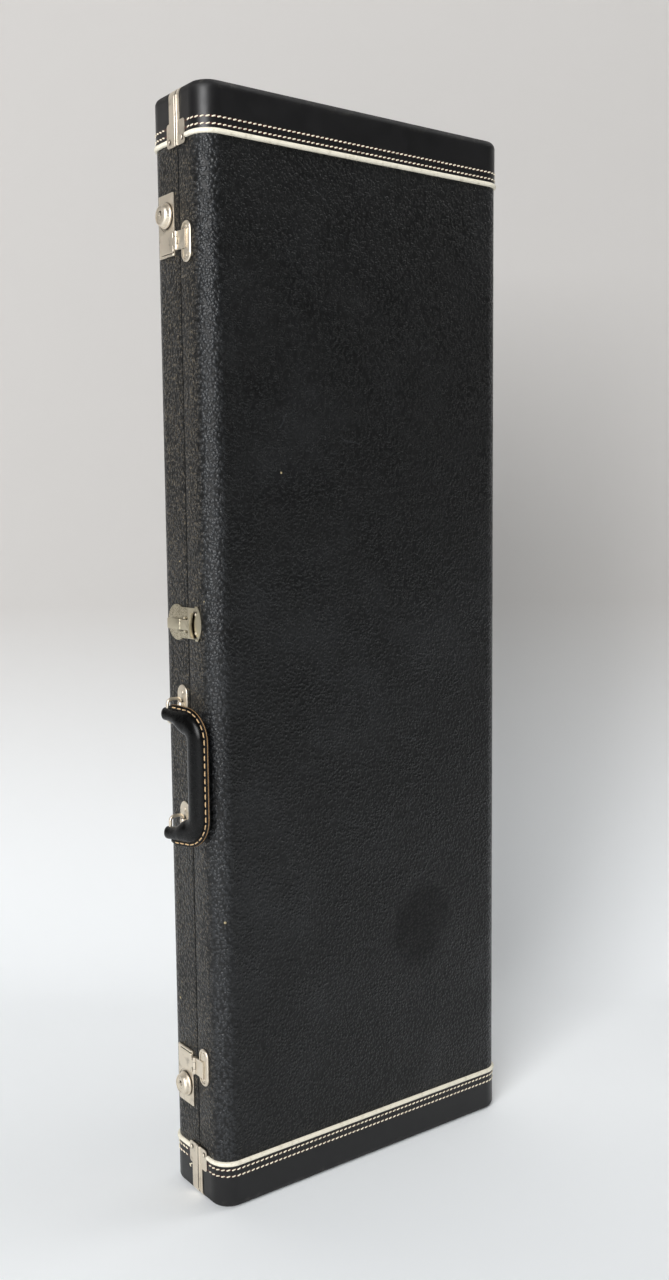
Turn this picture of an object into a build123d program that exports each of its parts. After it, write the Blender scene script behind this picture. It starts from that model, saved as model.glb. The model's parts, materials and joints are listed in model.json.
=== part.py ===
from build123d import *
from collections import namedtuple
from math import cos, radians, sin, sqrt
import os

# Rectangular hard case for an electric guitar, standing on its lower end as it is stored.
# Millimetres. +Z runs up the length, -X is the narrow side with the locks and the handle,
# +X is the hinge side, -Y is the wide face of the lid and +Y the wide face of the base.
# The origin is on the floor, in the middle of the width and the depth.

os.makedirs("parts", exist_ok=True)

# Covered case
case_height = 1016.0
case_width = 352.5
case_depth = 91.5
corner_radius = 19.0
end_round = 6.5
parting_y = -6.0
parting_gap = 0.5

# Boards and coverings
covering_t = 1.0
board_t = 7.0
end_board_t = 9.0
end_board_bevel = 2.7
batten_width = 20.0
batten_inner_radius = 8.0
glue_line = 0.2
leather_t = 1.8
end_band = 43.5
piping_width = 4.5
piping_proud = 2.5
piping_bevel = 1.3

# Plush lining and the dust lip that rises into the lid
lining_t = 3.0
lip_height = 5.0
lip_clear = 0.6

# Metal strips that cover the parting line at both ends
strip_t = 0.9
strip_length = 50.0
strip_base_width = 11.6
strip_lid_width = 5.5
flange_length = 21.0
flange_base_reach = 16.0
flange_lid_reach = 14.0
flange_round = 3.0
bead_radius = 1.1
groove_play = 0.1

# Key locks: a plate on the base, a sliding knob with a key plug, and a hasp on the lid
upper_lock_from_top = 114.5
lower_lock_from_floor = 112.8
lock_plate_length = 55.0
lock_plate_width = 27.0
lock_plate_from_parting = 8.0
lock_plate_t = 1.2
lock_ledge_width = 2.2
lock_ledge_height = 1.0
lock_ledge_taper = 15.0
knob_from_centre = 8.8
knob_skirt_radius = 11.2
knob_skirt_height = 2.2
knob_radius = 10.2
knob_height = 6.4
knob_top_radius = 9.6
knob_shoulder = 1.7
knob_bevel = 0.8
knob_travel = 5.0
knob_lift = 0.2
knob_dish_radius = 7.2
knob_dish_depth = 0.5
stem_radius = 3.0
slider_length = 15.0
slider_width = 14.0
slider_t = 1.5
tongue_width = 5.0
tongue_gap = 0.5
crescent_clear = 1.0
crescent_shift = 1.6
crescent_depth = 0.5
plug_radius = 4.0
plug_depth = 4.5
plug_clear = 0.05
keyhole_radius = 1.1
keyhole_slot = 3.6
keyhole_slot_width = 1.1
lock_pocket_depth = 6.0
lock_pocket_border = 3.0

# Hasps
flap_from_centre = 15.8
flap_length = 18.0
flap_width = 21.5
flap_from_parting = 8.6
flap_t = 1.2
flap_lift = 0.15
flap_round = 1.5
hasp_axis_from_parting = 2.5
hasp_axis_height = 2.4
hasp_barrel_radius = 1.9
hasp_pin_radius = 0.7
hasp_bore_clear = 0.05
hasp_knuckle_half = 3.2
hasp_barrel_half = 8.0
knuckle_gap = 0.2
staple_width = 5.0
staple_thick = 2.0
staple_depth = 5.0
staple_from_edge = 6.0
staple_play = 0.6
staple_swing = 2.2
oval_length = 35.5
oval_width = 15.6
oval_from_parting = 12.3
oval_offset = 2.6
oval_t = 1.8
oval_bevel = 0.7
oval_rim = 2.4
oval_dish = 0.8
shoulder_t = 1.6

# Centre draw latch
latch_from_floor = 547.3
latch_disc_radius = 16.5
latch_disc_from_parting = 18.7
latch_waist_half = 14.2
latch_plate_t = 1.0
latch_z_shift = -1.3
lever_pin_from_parting = 1.9
lever_pin_height = 2.9
lever_pin_radius = 0.8
lever_barrel_radius = 1.5
lever_barrel_half = 2.3
lever_width = 9.4
lever_end_from_parting = 30.0
lever_t = 1.4
lever_foot_t = 1.2
claw_pin_from_parting = 6.4
claw_pin_height = 5.0
claw_pin_radius = 0.7
claw_barrel_radius = 1.4
latch_bore_clear = 0.05
latch_rib_width = 2.2
latch_rib_length = 15.0
latch_rib_height = 1.2
latch_rib_from_lever = 7.2
ear_t = 1.4
ear_wall = 0.8
ear_gap = 0.5
claw_t = 1.2
claw_nose_from_parting = 9.2
claw_nose_width = 2.2
claw_nose_half = 11.5
claw_nose_radius = 19.7
strike_reach = 23.6
strike_arc_radius = 24.0
strike_half = 15.8
strike_waist = 13.5
strike_t = 1.2
ridge_height = 0.8
ridge_width = 1.6
nose_clear = 0.2

# Handle, its wire bails and the lugs
handle_from_floor = 413.7
lug_spacing = 109.4
lug_from_parting = 12.5
lug_length = 42.3
lug_width = 17.0
lug_t = 1.2
bridge_half = 5.0
bridge_wall = 1.5
wire_radius = 1.5
wire_clear = 0.1
bail_half = 10.8
bail_bend = 3.0
bail_drop = 1.6
bail_reach = 16.5
handle_drop = 3.6
handle_lean = 10.6
handle_depth = 41.0
roll_half_width = 11.0
roll_half_thick = 7.0
roll_bevel = 3.4
roll_half_length = 49.0
roll_bend = 22.0
arm_length = 17.0
loop_length = 10.4
loop_radius = 4.5
welt_reach = 3.6
welt_t = 3.2
welt_start = 7.0
welt_corner = 13.0

# Hinges on the +X side
hinge_length = 50.0
hinge_from_end = 150.0
hinge_leaf_width = 16.0
hinge_leaf_t = 1.5
hinge_barrel_radius = 3.0
hinge_lift = 0.1
hinge_pin_radius = 1.5
hinge_bore_clear = 0.05
hinge_knuckles = 3
hinge_knuckle_gap = 0.3
hinge_pin_overhang = 0.8

# Padding inside the base
pad_drop = 4.0
end_pad_length = 62.0
end_pad_hollow = 172.0
end_pad_floor = 16.0
waist_pad_from_floor = 285.0
waist_pad_reach = 36.0
waist_pad_half = 62.0
shoulder_from_floor = 452.0
shoulder_length = 46.0
shoulder_hollow = 95.0
shoulder_bite = 20.0
neck_gap = 74.0
cradle_from_floor = 722.0
cradle_length = 46.0
cradle_half = 68.0
cradle_notch_radius = 29.0
cradle_notch_depth = 24.0
box_from_floor = 540.0
box_length = 165.0
box_inner_x = -62.0
box_wall = 5.0

Half = namedtuple("Half", "name outward strip_width flange_reach")
base_half = Half("base", 1, strip_base_width, flange_base_reach)
lid_half = Half("lid", -1, strip_lid_width, flange_lid_reach)

End = namedtuple("End", "name z inward")
lower_end = End("lower", 0.0, 1)
upper_end = End("upper", case_height, -1)

Lock = namedtuple("Lock", "name z endward")
locks = [
    Lock("upper", case_height - upper_lock_from_top, 1),
    Lock("lower", lower_lock_from_floor, -1),
]

Lug = namedtuple("Lug", "name z")
lugs = [
    Lug("upper", handle_from_floor + lug_spacing / 2),
    Lug("lower", handle_from_floor - lug_spacing / 2),
]
hinge_heights = [hinge_from_end, case_height / 2, case_height - hinge_from_end]

# Places worked out from the sizes above
wall_inset = covering_t + board_t
lining_inset = wall_inset + lining_t
leather_proud = leather_t - covering_t
cavity_low = leather_t + end_board_t
floor_y = case_depth / 2 - lining_inset
pad_top_y = parting_y + pad_drop
lock_y = parting_y + lock_plate_from_parting + lock_plate_width / 2
hasp_axis_y = parting_y + hasp_axis_from_parting
flap_near_y = parting_y + flap_from_parting
flap_y = flap_near_y + flap_width / 2
flap_bottom = lock_plate_t + flap_lift
staple_y = flap_near_y + flap_width - staple_from_edge
oval_y = parting_y - oval_from_parting
lever_pin_y = parting_y + lever_pin_from_parting
claw_pin_y = parting_y + claw_pin_from_parting
latch_z = latch_from_floor
lever_z = latch_from_floor + latch_z_shift
lug_y = parting_y + lug_from_parting
bail_axis_height = lug_t + wire_radius + wire_clear
handle_z = handle_from_floor - handle_drop
hinge_axis_x = case_width / 2 + hinge_barrel_radius + hinge_lift
piping_edge = end_band + piping_width / 2
batten_y = case_depth / 2 - corner_radius


def save(name, piece):
    """Label a finished piece and write it under its own name."""
    piece.part.label = name
    export_step(piece.part, f"parts/{name}.step")


def latch_side(y, z, height=0.0):
    """Plane on the latch side: local x is +Z, local y is +Y, and the normal points outwards."""
    return Plane(origin=(-case_width / 2 - height, y, z), x_dir=(0, 0, 1), z_dir=(-1, 0, 0))


def hinge_side(y, z, height=0.0):
    """Plane on the hinge side: local x is -Z, local y is +Y, and the normal points outwards."""
    return Plane(origin=(case_width / 2 + height, y, z), x_dir=(0, 0, -1), z_dir=(1, 0, 0))


def across(z):
    """Plane square to the length, seen from above: local x is +X and local y is +Y."""
    return Plane.XY.offset(z)


def rim(half):
    """The y of a half's rim, half the parting gap from the parting line."""
    return parting_y + half.outward * parting_gap / 2


def outline(inset):
    """Rounded outline of the whole case, drawn inside the covered surface by inset."""
    RectangleRounded(case_width - 2 * inset, case_depth - 2 * inset, corner_radius - inset)


def keep_band(y_a, y_b):
    """Keep the part of the sketch between two y values."""
    with Locations((0, (y_a + y_b) / 2)):
        Rectangle(2 * case_width, abs(y_b - y_a), mode=Mode.INTERSECT)


def keep_half(half):
    """Keep the part of the sketch on one side of the parting line."""
    keep_band(rim(half), half.outward * case_depth)


def at_end(end, distance):
    """The z of a place that far inside one end."""
    return end.z + end.inward * distance


def end_block(end, inset, depth, length):
    """Solid of the whole outline and the edges of its outer face, from depth inside the end inwards."""
    with BuildSketch(across(at_end(end, depth)), mode=Mode.PRIVATE) as sheet:
        outline(inset)
    block = extrude(sheet.sketch, amount=end.inward * length, mode=Mode.PRIVATE)
    return block, block.edges().group_by(Axis.Z)[0 if end.inward > 0 else -1]


def board_block(end, length):
    """End board's form: its outer edges are planed off at 45 degrees under the leather."""
    block, edges = end_block(end, covering_t, leather_t, length)
    return block.chamfer(end_board_bevel, end_board_bevel, edges)


def half_slab(half):
    """Block that fills one side of the parting line, used to cut a whole form in half."""
    with BuildSketch(across(-case_depth), mode=Mode.PRIVATE) as sheet:
        Rectangle(2 * case_width, 2 * case_depth)
        keep_half(half)
    extrude(sheet.sketch, amount=case_height + 2 * case_depth, mode=Mode.INTERSECT)


# Boards


def make_panel(half):
    """Flat plywood board of a wide face, between the two rails and the end boards."""
    face = half.outward * (case_depth / 2 - covering_t - board_t / 2)
    with BuildPart() as panel:
        with BuildSketch(across(cavity_low)):
            with Locations((0, face)):
                Rectangle(case_width - 2 * batten_width, board_t)
        extrude(amount=case_height - 2 * cavity_low)
    save(f"{half.name}_panel", panel)


def make_wall(half, side, name):
    """Flat plywood board of one narrow side, from the rim to the rounded long edge."""
    low, high = sorted((rim(half), half.outward * batten_y))
    with BuildPart() as wall:
        with BuildSketch(across(cavity_low)):
            with Locations((side * (case_width / 2 - covering_t - board_t / 2), (low + high) / 2)):
                Rectangle(board_t, high - low)
        extrude(amount=case_height - 2 * cavity_low)
        if half is base_half and side < 0:
            for lock in locks:
                cut_lock_pocket(lock)
    save(f"{half.name}_{name}_wall", wall)


def make_edge_battens(half):
    """Pair of moulded battens that form the rounded long edges between the walls and the panel."""
    with BuildPart() as battens:
        with BuildSketch(across(cavity_low)):
            outline(covering_t)
            outline_hole(wall_inset, batten_inner_radius)
            keep_band(half.outward * batten_y, half.outward * case_depth)
            Rectangle(case_width - 2 * batten_width, case_depth, mode=Mode.SUBTRACT)
        extrude(amount=case_height - 2 * cavity_low)
    save(f"{half.name}_edge_battens", battens)


def outline_hole(inset, radius):
    """Cut the outline at that inset, with that corner radius, out of the sketch."""
    RectangleRounded(case_width - 2 * inset, case_depth - 2 * inset, radius, mode=Mode.SUBTRACT)


def cut_lock_pocket(lock):
    """Pocket behind a lock plate, with the channel in which the hasp's staple runs to the rim."""
    pocket_length = lock_plate_length - 2 * lock_pocket_border
    pocket_width = lock_plate_width - 2 * lock_pocket_border
    staple_z = lock.z - lock.endward * flap_from_centre
    channel = staple_y - parting_y
    with BuildSketch(latch_side(lock_y, lock.z, height=covering_t), mode=Mode.PRIVATE) as sheet:
        Rectangle(pocket_length, pocket_width)
        with Locations((staple_z - lock.z, parting_y + channel / 2 - lock_y)):
            Rectangle(staple_width + 2 * staple_play, channel)
    extrude(sheet.sketch, amount=-lock_pocket_depth - covering_t, mode=Mode.SUBTRACT)


def make_end_boards(half):
    """The two solid boards that close a half at its ends."""
    with BuildPart() as boards:
        for end in (lower_end, upper_end):
            add(board_block(end, end_board_t))
        half_slab(half)
    save(f"{half.name}_end_boards", boards)


# Coverings


def make_covering(half):
    """Grained vinyl skin glued over the boards between the two leather ends."""
    with BuildPart() as covering:
        with BuildSketch(across(piping_edge)):
            outline(0)
            outline_hole(covering_t, corner_radius - covering_t)
            keep_half(half)
        extrude(amount=case_height - 2 * piping_edge)
        if half is base_half:
            for lock in locks:
                cut_lock_pocket(lock)
    save(f"{half.name}_covering", covering)


def make_leather(half, end):
    """Leather cap of one end: a band round the sides and the plate under the end board."""
    band = end_band - piping_width / 2
    with BuildPart() as leather:
        block, edges = end_block(end, -leather_proud, 0, band)
        add(block.fillet(end_round, edges))
        add(board_block(end, band), mode=Mode.SUBTRACT)
        half_slab(half)
        cut_strip_seat(half, end)
    save(f"{half.name}_{end.name}_leather", leather)


def make_piping(half, end):
    """Round cord sewn in between the leather and the vinyl, stopping at the metal strips."""
    z_start = at_end(end, end_band - piping_width / 2)
    reach = rim(half) + half.outward * (half.flange_reach + groove_play)
    with BuildPart() as piping:
        with BuildSketch(across(z_start)):
            outline(-piping_proud)
        extrude(amount=end.inward * piping_width)
        rims = piping.edges().group_by(Axis.Z)
        chamfer(rims[0] + rims[-1], piping_bevel)
        with BuildSketch(across(z_start)):
            outline(covering_t)
        extrude(amount=end.inward * piping_width, mode=Mode.SUBTRACT)
        with BuildSketch(across(z_start)):
            Rectangle(2 * case_width, 2 * case_depth)
            keep_band(reach, half.outward * case_depth)
        extrude(amount=end.inward * piping_width, mode=Mode.INTERSECT)
    save(f"{half.name}_{end.name}_piping", piping)


# Metal strips over the ends of the parting line


def strip_sketch(end, outside, depth, length, radius):
    """Rectangle across the case, rounded where it turns under the end."""
    low = min(at_end(end, depth), at_end(end, length))
    high = max(at_end(end, depth), at_end(end, length))
    with BuildSketch(mode=Mode.PRIVATE) as sheet:
        with Locations((0, (low + high) / 2)):
            Rectangle(case_width + 2 * outside, high - low)
        corners = sheet.vertices().group_by(Axis.Y)[0 if end.inward > 0 else -1]
        fillet(corners, radius)
    return sheet.sketch_local


def band_between(half, width):
    """The nearer and farther y of a strip of that width, from the rim outwards."""
    y_a = rim(half)
    y_b = y_a + half.outward * width
    return min(y_a, y_b), max(y_a, y_b)


def cut_strip_seat(half, end):
    """Shallow seat that lets the strip lie flush with the leather under the end."""
    low, high = band_between(half, half.strip_width + groove_play)
    reach = strip_length + case_depth
    with BuildSketch(Plane.XZ.offset(-high), mode=Mode.PRIVATE) as seat:
        add(strip_sketch(end, 2 * strip_t + leather_proud, -strip_t, reach, strip_t))
        add(strip_sketch(end, leather_proud, strip_t, reach, end_round), mode=Mode.SUBTRACT)
    extrude(seat.sketch, amount=high - low, mode=Mode.SUBTRACT)


def make_strip(half, end):
    """Sheet metal strip up one narrow side, under the end and up the other side."""
    low, high = band_between(half, half.strip_width)
    bead_y = rim(half) + half.outward * (bead_radius + strip_t / 2)
    flange_z = at_end(end, strip_length - flange_length / 2)
    bead_start = end_round + strip_t
    with BuildPart() as strip:
        with BuildSketch(Plane.XZ.offset(-high)):
            outer_radius = end_round + strip_t
            add(strip_sketch(end, leather_proud + strip_t, 0, strip_length, outer_radius))
            inner = strip_sketch(end, leather_proud, strip_t, strip_length + strip_t, end_round)
            add(inner, mode=Mode.SUBTRACT)
        extrude(amount=high - low)
        for side_plane in (latch_side, hinge_side):
            flange_y = rim(half) + half.outward * half.flange_reach / 2
            with BuildSketch(side_plane(flange_y, flange_z, height=leather_proud)) as flange:
                Rectangle(flange_length, half.flange_reach)
                corners = flange.vertices().group_by(Axis.Y)[-1 if half.outward > 0 else 0]
                fillet(corners, flange_round)
            extrude(amount=strip_t)
        for side in (-1, 1):
            bead_x = side * (case_width / 2 + leather_proud + strip_t)
            with BuildSketch(across(at_end(end, bead_start))):
                with Locations((bead_x, bead_y)):
                    Circle(bead_radius)
                with Locations((bead_x - side * bead_radius, bead_y)):
                    Rectangle(2 * (bead_radius - strip_t), 2 * bead_radius, mode=Mode.SUBTRACT)
            extrude(amount=end.inward * (strip_length - bead_start))
    save(f"{half.name}_{end.name}_strip", strip)


# Key locks


def make_lock_plate(lock):
    """Stamped plate with the stem's slot, the staple's slot and a raised ledge at one end."""
    ledge_z = -lock.endward * (lock_plate_length - lock_ledge_width) / 2
    knob_x = lock.endward * knob_from_centre
    staple_x = -lock.endward * flap_from_centre
    slot_length = 2 * stem_radius + knob_travel + 1
    channel = staple_y + staple_thick / 2 + staple_swing - (lock_y - lock_plate_width / 2)
    with BuildPart() as plate:
        with BuildSketch(latch_side(lock_y, lock.z)):
            RectangleRounded(lock_plate_length, lock_plate_width, flap_round)
        extrude(amount=lock_plate_t)
        with BuildSketch(latch_side(lock_y, lock.z, height=lock_plate_t)):
            with Locations((ledge_z, 0)):
                Rectangle(lock_ledge_width, lock_plate_width - 2 * flap_round)
        extrude(amount=lock_ledge_height, taper=lock_ledge_taper)
        with BuildSketch(latch_side(lock_y, lock.z, height=lock_plate_t)):
            with Locations((knob_x - lock.endward * crescent_shift, 0)):
                Circle(knob_skirt_radius + crescent_clear)
        extrude(amount=-crescent_depth, mode=Mode.SUBTRACT)
        with BuildSketch(latch_side(lock_y, lock.z)):
            with Locations((knob_x + lock.endward * knob_travel / 2, 0)):
                SlotOverall(slot_length, 2 * stem_radius + 0.6)
            with Locations((staple_x, (channel - lock_plate_width) / 2)):
                Rectangle(staple_width + 2 * staple_play, channel)
        extrude(amount=lock_plate_t, mode=Mode.SUBTRACT)
    save(f"{lock.name}_lock_plate", plate)


def make_knob(lock):
    """Turned knob on a stem, with the slider and tongue that it moves behind the plate."""
    knob_z = lock.z + lock.endward * knob_from_centre
    turning = Plane(origin=(-case_width / 2, lock_y, knob_z), x_dir=(0, 0, 1), z_dir=(0, -1, 0))
    seat = lock_plate_t + knob_lift
    shoulder = seat + knob_skirt_height
    top = seat + knob_height
    bore_radius = plug_radius + plug_clear
    tongue_end = knob_from_centre + flap_from_centre - staple_width / 2 - tongue_gap
    tongue_x = -lock.endward * tongue_end / 2
    with BuildPart() as knob:
        with BuildSketch(turning):
            Polygon(
                (0, seat),
                (knob_skirt_radius, seat),
                (knob_skirt_radius, shoulder - knob_bevel),
                (knob_skirt_radius - knob_bevel, shoulder),
                (knob_radius, shoulder),
                (knob_top_radius, top - knob_shoulder),
                (knob_top_radius - knob_shoulder / 2, top - knob_shoulder / 3),
                (knob_top_radius - knob_shoulder, top),
                (knob_dish_radius, top),
                (knob_dish_radius, top - knob_dish_depth),
                (bore_radius, top - knob_dish_depth),
                (bore_radius, top - plug_depth),
                (0, top - plug_depth),
                align=None,
            )
        revolve(axis=Axis(turning.origin, turning.y_dir))
        with BuildSketch(latch_side(lock_y, knob_z, height=seat)):
            Circle(stem_radius)
        extrude(amount=-seat - knob_lift - slider_t)
        with BuildSketch(latch_side(lock_y, knob_z, height=-knob_lift)):
            RectangleRounded(slider_length, slider_width, flap_round)
            with Locations((tongue_x, 0)):
                Rectangle(tongue_end, tongue_width)
        extrude(amount=-slider_t)
    save(f"{lock.name}_lock_knob", knob)


def make_key_plug(lock):
    """Lock cylinder in the knob, with its keyhole."""
    knob_z = lock.z + lock.endward * knob_from_centre
    face = lock_plate_t + knob_lift + knob_height - knob_dish_depth
    with BuildPart() as plug:
        with BuildSketch(latch_side(lock_y, knob_z, height=face)):
            Circle(plug_radius)
        extrude(amount=-plug_depth + knob_dish_depth)
        with BuildSketch(latch_side(lock_y, knob_z, height=face)):
            Circle(keyhole_radius)
            with Locations((keyhole_slot / 2, 0)):
                Rectangle(keyhole_slot, keyhole_slot_width)
        extrude(amount=-plug_depth + 2 * knob_dish_depth, mode=Mode.SUBTRACT)
    save(f"{lock.name}_key_plug", plug)


def barrel(y, z, height, radius, half_length):
    """Round knuckle along Z on the latch side, between two distances from z."""
    with BuildSketch(across(z - half_length), mode=Mode.PRIVATE) as sheet:
        with Locations((-case_width / 2 - height, y)):
            Circle(radius)
    extrude(sheet.sketch, amount=2 * half_length)


def bore(y, z, height, radius, half_length):
    """Round hole along Z on the latch side."""
    with BuildSketch(across(z - half_length), mode=Mode.PRIVATE) as sheet:
        with Locations((-case_width / 2 - height, y)):
            Circle(radius)
    extrude(sheet.sketch, amount=2 * half_length, mode=Mode.SUBTRACT)


def make_hasp(lock):
    """Hinged flap that lies on the lock plate, with the staple under it."""
    flap_z = lock.z - lock.endward * flap_from_centre
    web_y = (hasp_axis_y + flap_near_y + flap_round) / 2
    web = flap_near_y + flap_round - hasp_axis_y
    with BuildPart() as hasp:
        with BuildSketch(latch_side(flap_y, flap_z, height=flap_bottom)):
            RectangleRounded(flap_length, flap_width, flap_round)
        extrude(amount=flap_t)
        chamfer(hasp.faces().sort_by(Axis.X)[0].edges(), flap_t / 3)
        with BuildSketch(latch_side(web_y, flap_z, height=flap_bottom)):
            Rectangle(2 * hasp_knuckle_half, web)
        extrude(amount=flap_t)
        with BuildSketch(latch_side(staple_y, flap_z, height=flap_bottom)):
            Rectangle(staple_width, staple_thick)
        extrude(amount=-staple_depth)
        barrel(hasp_axis_y, flap_z, hasp_axis_height, hasp_barrel_radius, hasp_knuckle_half)
        pin_bore = hasp_pin_radius + hasp_bore_clear
        bore(hasp_axis_y, flap_z, hasp_axis_height, pin_bore, hasp_knuckle_half)
    save(f"{lock.name}_hasp", hasp)


def make_hasp_plate(lock):
    """Oval plate on the lid, with the shoulder and the two knuckles that carry the hasp."""
    flap_z = lock.z - lock.endward * flap_from_centre
    oval_z = flap_z - lock.endward * oval_offset
    shoulder = hasp_axis_y - oval_y
    shoulder_low = hasp_axis_height - shoulder_t
    inner_half = hasp_knuckle_half + knuckle_gap
    notch = hasp_barrel_radius + 2 * knuckle_gap
    with BuildPart() as plate:
        with BuildSketch(latch_side(oval_y, oval_z)):
            SlotOverall(oval_length, oval_width)
        extrude(amount=oval_t)
        chamfer(plate.faces().sort_by(Axis.X)[0].edges(), oval_bevel)
        with BuildSketch(latch_side(oval_y, oval_z, height=oval_t)):
            SlotOverall(oval_length - 2 * oval_rim, oval_width - 2 * oval_rim)
        extrude(amount=-oval_dish, mode=Mode.SUBTRACT)
        with BuildSketch(latch_side(oval_y + shoulder / 2, flap_z, height=shoulder_low)):
            Rectangle(2 * hasp_barrel_half, shoulder)
        extrude(amount=shoulder_t)
        barrel(hasp_axis_y, flap_z, hasp_axis_height, hasp_barrel_radius, hasp_barrel_half)
        with BuildSketch(latch_side(hasp_axis_y, flap_z)):
            Rectangle(2 * inner_half, 2 * notch)
        extrude(amount=2 * hasp_axis_height, mode=Mode.SUBTRACT)
        pin_bore = hasp_pin_radius + hasp_bore_clear
        bore(hasp_axis_y, flap_z, hasp_axis_height, pin_bore, hasp_barrel_half)
    save(f"{lock.name}_hasp_plate", plate)


def make_hasp_pins():
    """The two pins on which the hasps turn."""
    with BuildPart() as pins:
        for lock in locks:
            flap_z = lock.z - lock.endward * flap_from_centre
            barrel(hasp_axis_y, flap_z, hasp_axis_height, hasp_pin_radius, hasp_barrel_half)
    save("hasp_pins", pins)


# Centre draw latch


def make_latch_plate():
    """Round stippled base plate, cut straight at the rim, with two ears for the lever's pin."""
    ear_z = lever_width / 2 + ear_gap + ear_t / 2
    ear_width = 2 * (lever_pin_radius + ear_wall)
    disc_y = parting_y + latch_disc_from_parting
    with BuildPart() as plate:
        with BuildSketch(latch_side(0, latch_z)):
            with Locations((0, disc_y)):
                Circle(latch_disc_radius)
            with Locations((0, (rim(base_half) + disc_y) / 2)):
                Rectangle(2 * latch_waist_half, disc_y - rim(base_half))
            with Locations((0, rim(base_half) + case_depth / 2)):
                Rectangle(case_depth, case_depth, mode=Mode.INTERSECT)
        extrude(amount=latch_plate_t)
        rib_z = lever_z - latch_rib_from_lever
        with BuildSketch(latch_side(rim(base_half) + latch_rib_length / 2 + 1, rib_z)):
            Rectangle(latch_rib_width, latch_rib_length)
        extrude(amount=latch_plate_t + latch_rib_height)
        for place in (-ear_z, ear_z):
            with BuildSketch(across(lever_z + place - ear_t / 2)):
                with Locations((-case_width / 2 - lever_pin_height, lever_pin_y)):
                    Circle(ear_width / 2)
                with Locations((-case_width / 2 - lever_pin_height / 2, lever_pin_y)):
                    Rectangle(lever_pin_height, ear_width)
            extrude(amount=ear_t)
        bore(lever_pin_y, lever_z, lever_pin_height, lever_pin_radius, lever_width)
    save("centre_latch_plate", plate)


def make_lever_pin():
    """Pin held in the two ears, on which the lever turns."""
    half_length = lever_width / 2 + ear_gap + ear_t
    with BuildPart() as pin:
        barrel(lever_pin_y, lever_z, lever_pin_height, lever_pin_radius, half_length)
    save("lever_pin", pin)


def make_lever():
    """Stamped lever: a foot on the pin, a step up and the thumb plate."""
    foot_low = latch_plate_t + 0.4
    end_y = parting_y + lever_end_from_parting
    step_y = claw_pin_y + claw_barrel_radius + claw_t
    bar_top = claw_pin_height
    barrel_z = (lever_width / 2 + lever_barrel_half + knuckle_gap) / 2
    barrel_half = (lever_width / 2 - lever_barrel_half - knuckle_gap) / 2
    with BuildPart() as lever:
        with BuildSketch(Plane((-case_width / 2, 0, lever_z - lever_width / 2))):
            with BuildLine():
                Polyline(
                    (-foot_low, lever_pin_y),
                    (-foot_low, step_y + lever_t),
                    (-bar_top + lever_t, step_y + lever_t),
                    (-bar_top + lever_t, end_y - lever_t),
                    (-foot_low - lever_t, end_y),
                    (-bar_top, end_y),
                    (-bar_top, step_y),
                    (-foot_low - lever_foot_t, step_y),
                    (-foot_low - lever_foot_t, lever_pin_y),
                    close=True,
                )
            make_face()
        extrude(amount=lever_width)
        with BuildSketch(latch_side(end_y, lever_z)):
            Rectangle(lever_width, 2 * flap_round)
            with Locations((0, -flap_round)):
                RectangleRounded(lever_width, 4 * flap_round, flap_round, mode=Mode.SUBTRACT)
        extrude(amount=2 * claw_pin_height, mode=Mode.SUBTRACT)
        barrel(lever_pin_y, lever_z, lever_pin_height, lever_barrel_radius, lever_width / 2)
        for place in (-barrel_z, barrel_z):
            barrel(claw_pin_y, lever_z + place, claw_pin_height, claw_barrel_radius, barrel_half)
            with BuildSketch(across(lever_z + place - barrel_half)):
                web = claw_pin_height - foot_low
                with Locations((-case_width / 2 - foot_low - web / 2, claw_pin_y)):
                    Rectangle(web, 2 * claw_barrel_radius)
            extrude(amount=2 * barrel_half)
        bore(lever_pin_y, lever_z, lever_pin_height, lever_pin_radius + latch_bore_clear, lever_width)
        bore(claw_pin_y, lever_z, claw_pin_height, claw_pin_radius, lever_width)
    save("centre_lever", lever)


def make_claw_pin():
    """Pin held in the lever, on which the claw turns."""
    with BuildPart() as pin:
        barrel(claw_pin_y, lever_z, claw_pin_height, claw_pin_radius, lever_width / 2)
    save("claw_pin", pin)


def make_claw():
    """Claw: a strap from the lever's second pin to a wide curved nose over the strike."""
    nose_y = parting_y - claw_nose_from_parting
    strap_low = lever_pin_height + lever_barrel_radius + nose_clear
    strap = claw_pin_y - claw_barrel_radius - nose_y
    nose_low = strike_t + ridge_height + nose_clear
    arc_y = nose_y - claw_nose_radius
    with BuildPart() as claw:
        strap_y = claw_pin_y - claw_barrel_radius - strap / 2
        with BuildSketch(latch_side(strap_y, lever_z, height=strap_low)):
            Rectangle(lever_width, strap)
            with Locations((0, strap / 2)):
                Rectangle(2 * lever_barrel_half, 2 * claw_barrel_radius)
        extrude(amount=claw_t)
        barrel(claw_pin_y, lever_z, claw_pin_height, claw_barrel_radius, lever_barrel_half)
        bore(claw_pin_y, lever_z, claw_pin_height, claw_pin_radius + latch_bore_clear, lever_width)
        with BuildSketch(latch_side(0, lever_z, height=nose_low)):
            with Locations((0, arc_y)):
                Circle(claw_nose_radius + claw_nose_width / 2)
                Circle(claw_nose_radius - claw_nose_width / 2, mode=Mode.SUBTRACT)
            with Locations((0, nose_y)):
                Rectangle(2 * claw_nose_half, claw_nose_radius, mode=Mode.INTERSECT)
        extrude(amount=strap_low + claw_t - nose_low)
    save("centre_claw", claw)


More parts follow.
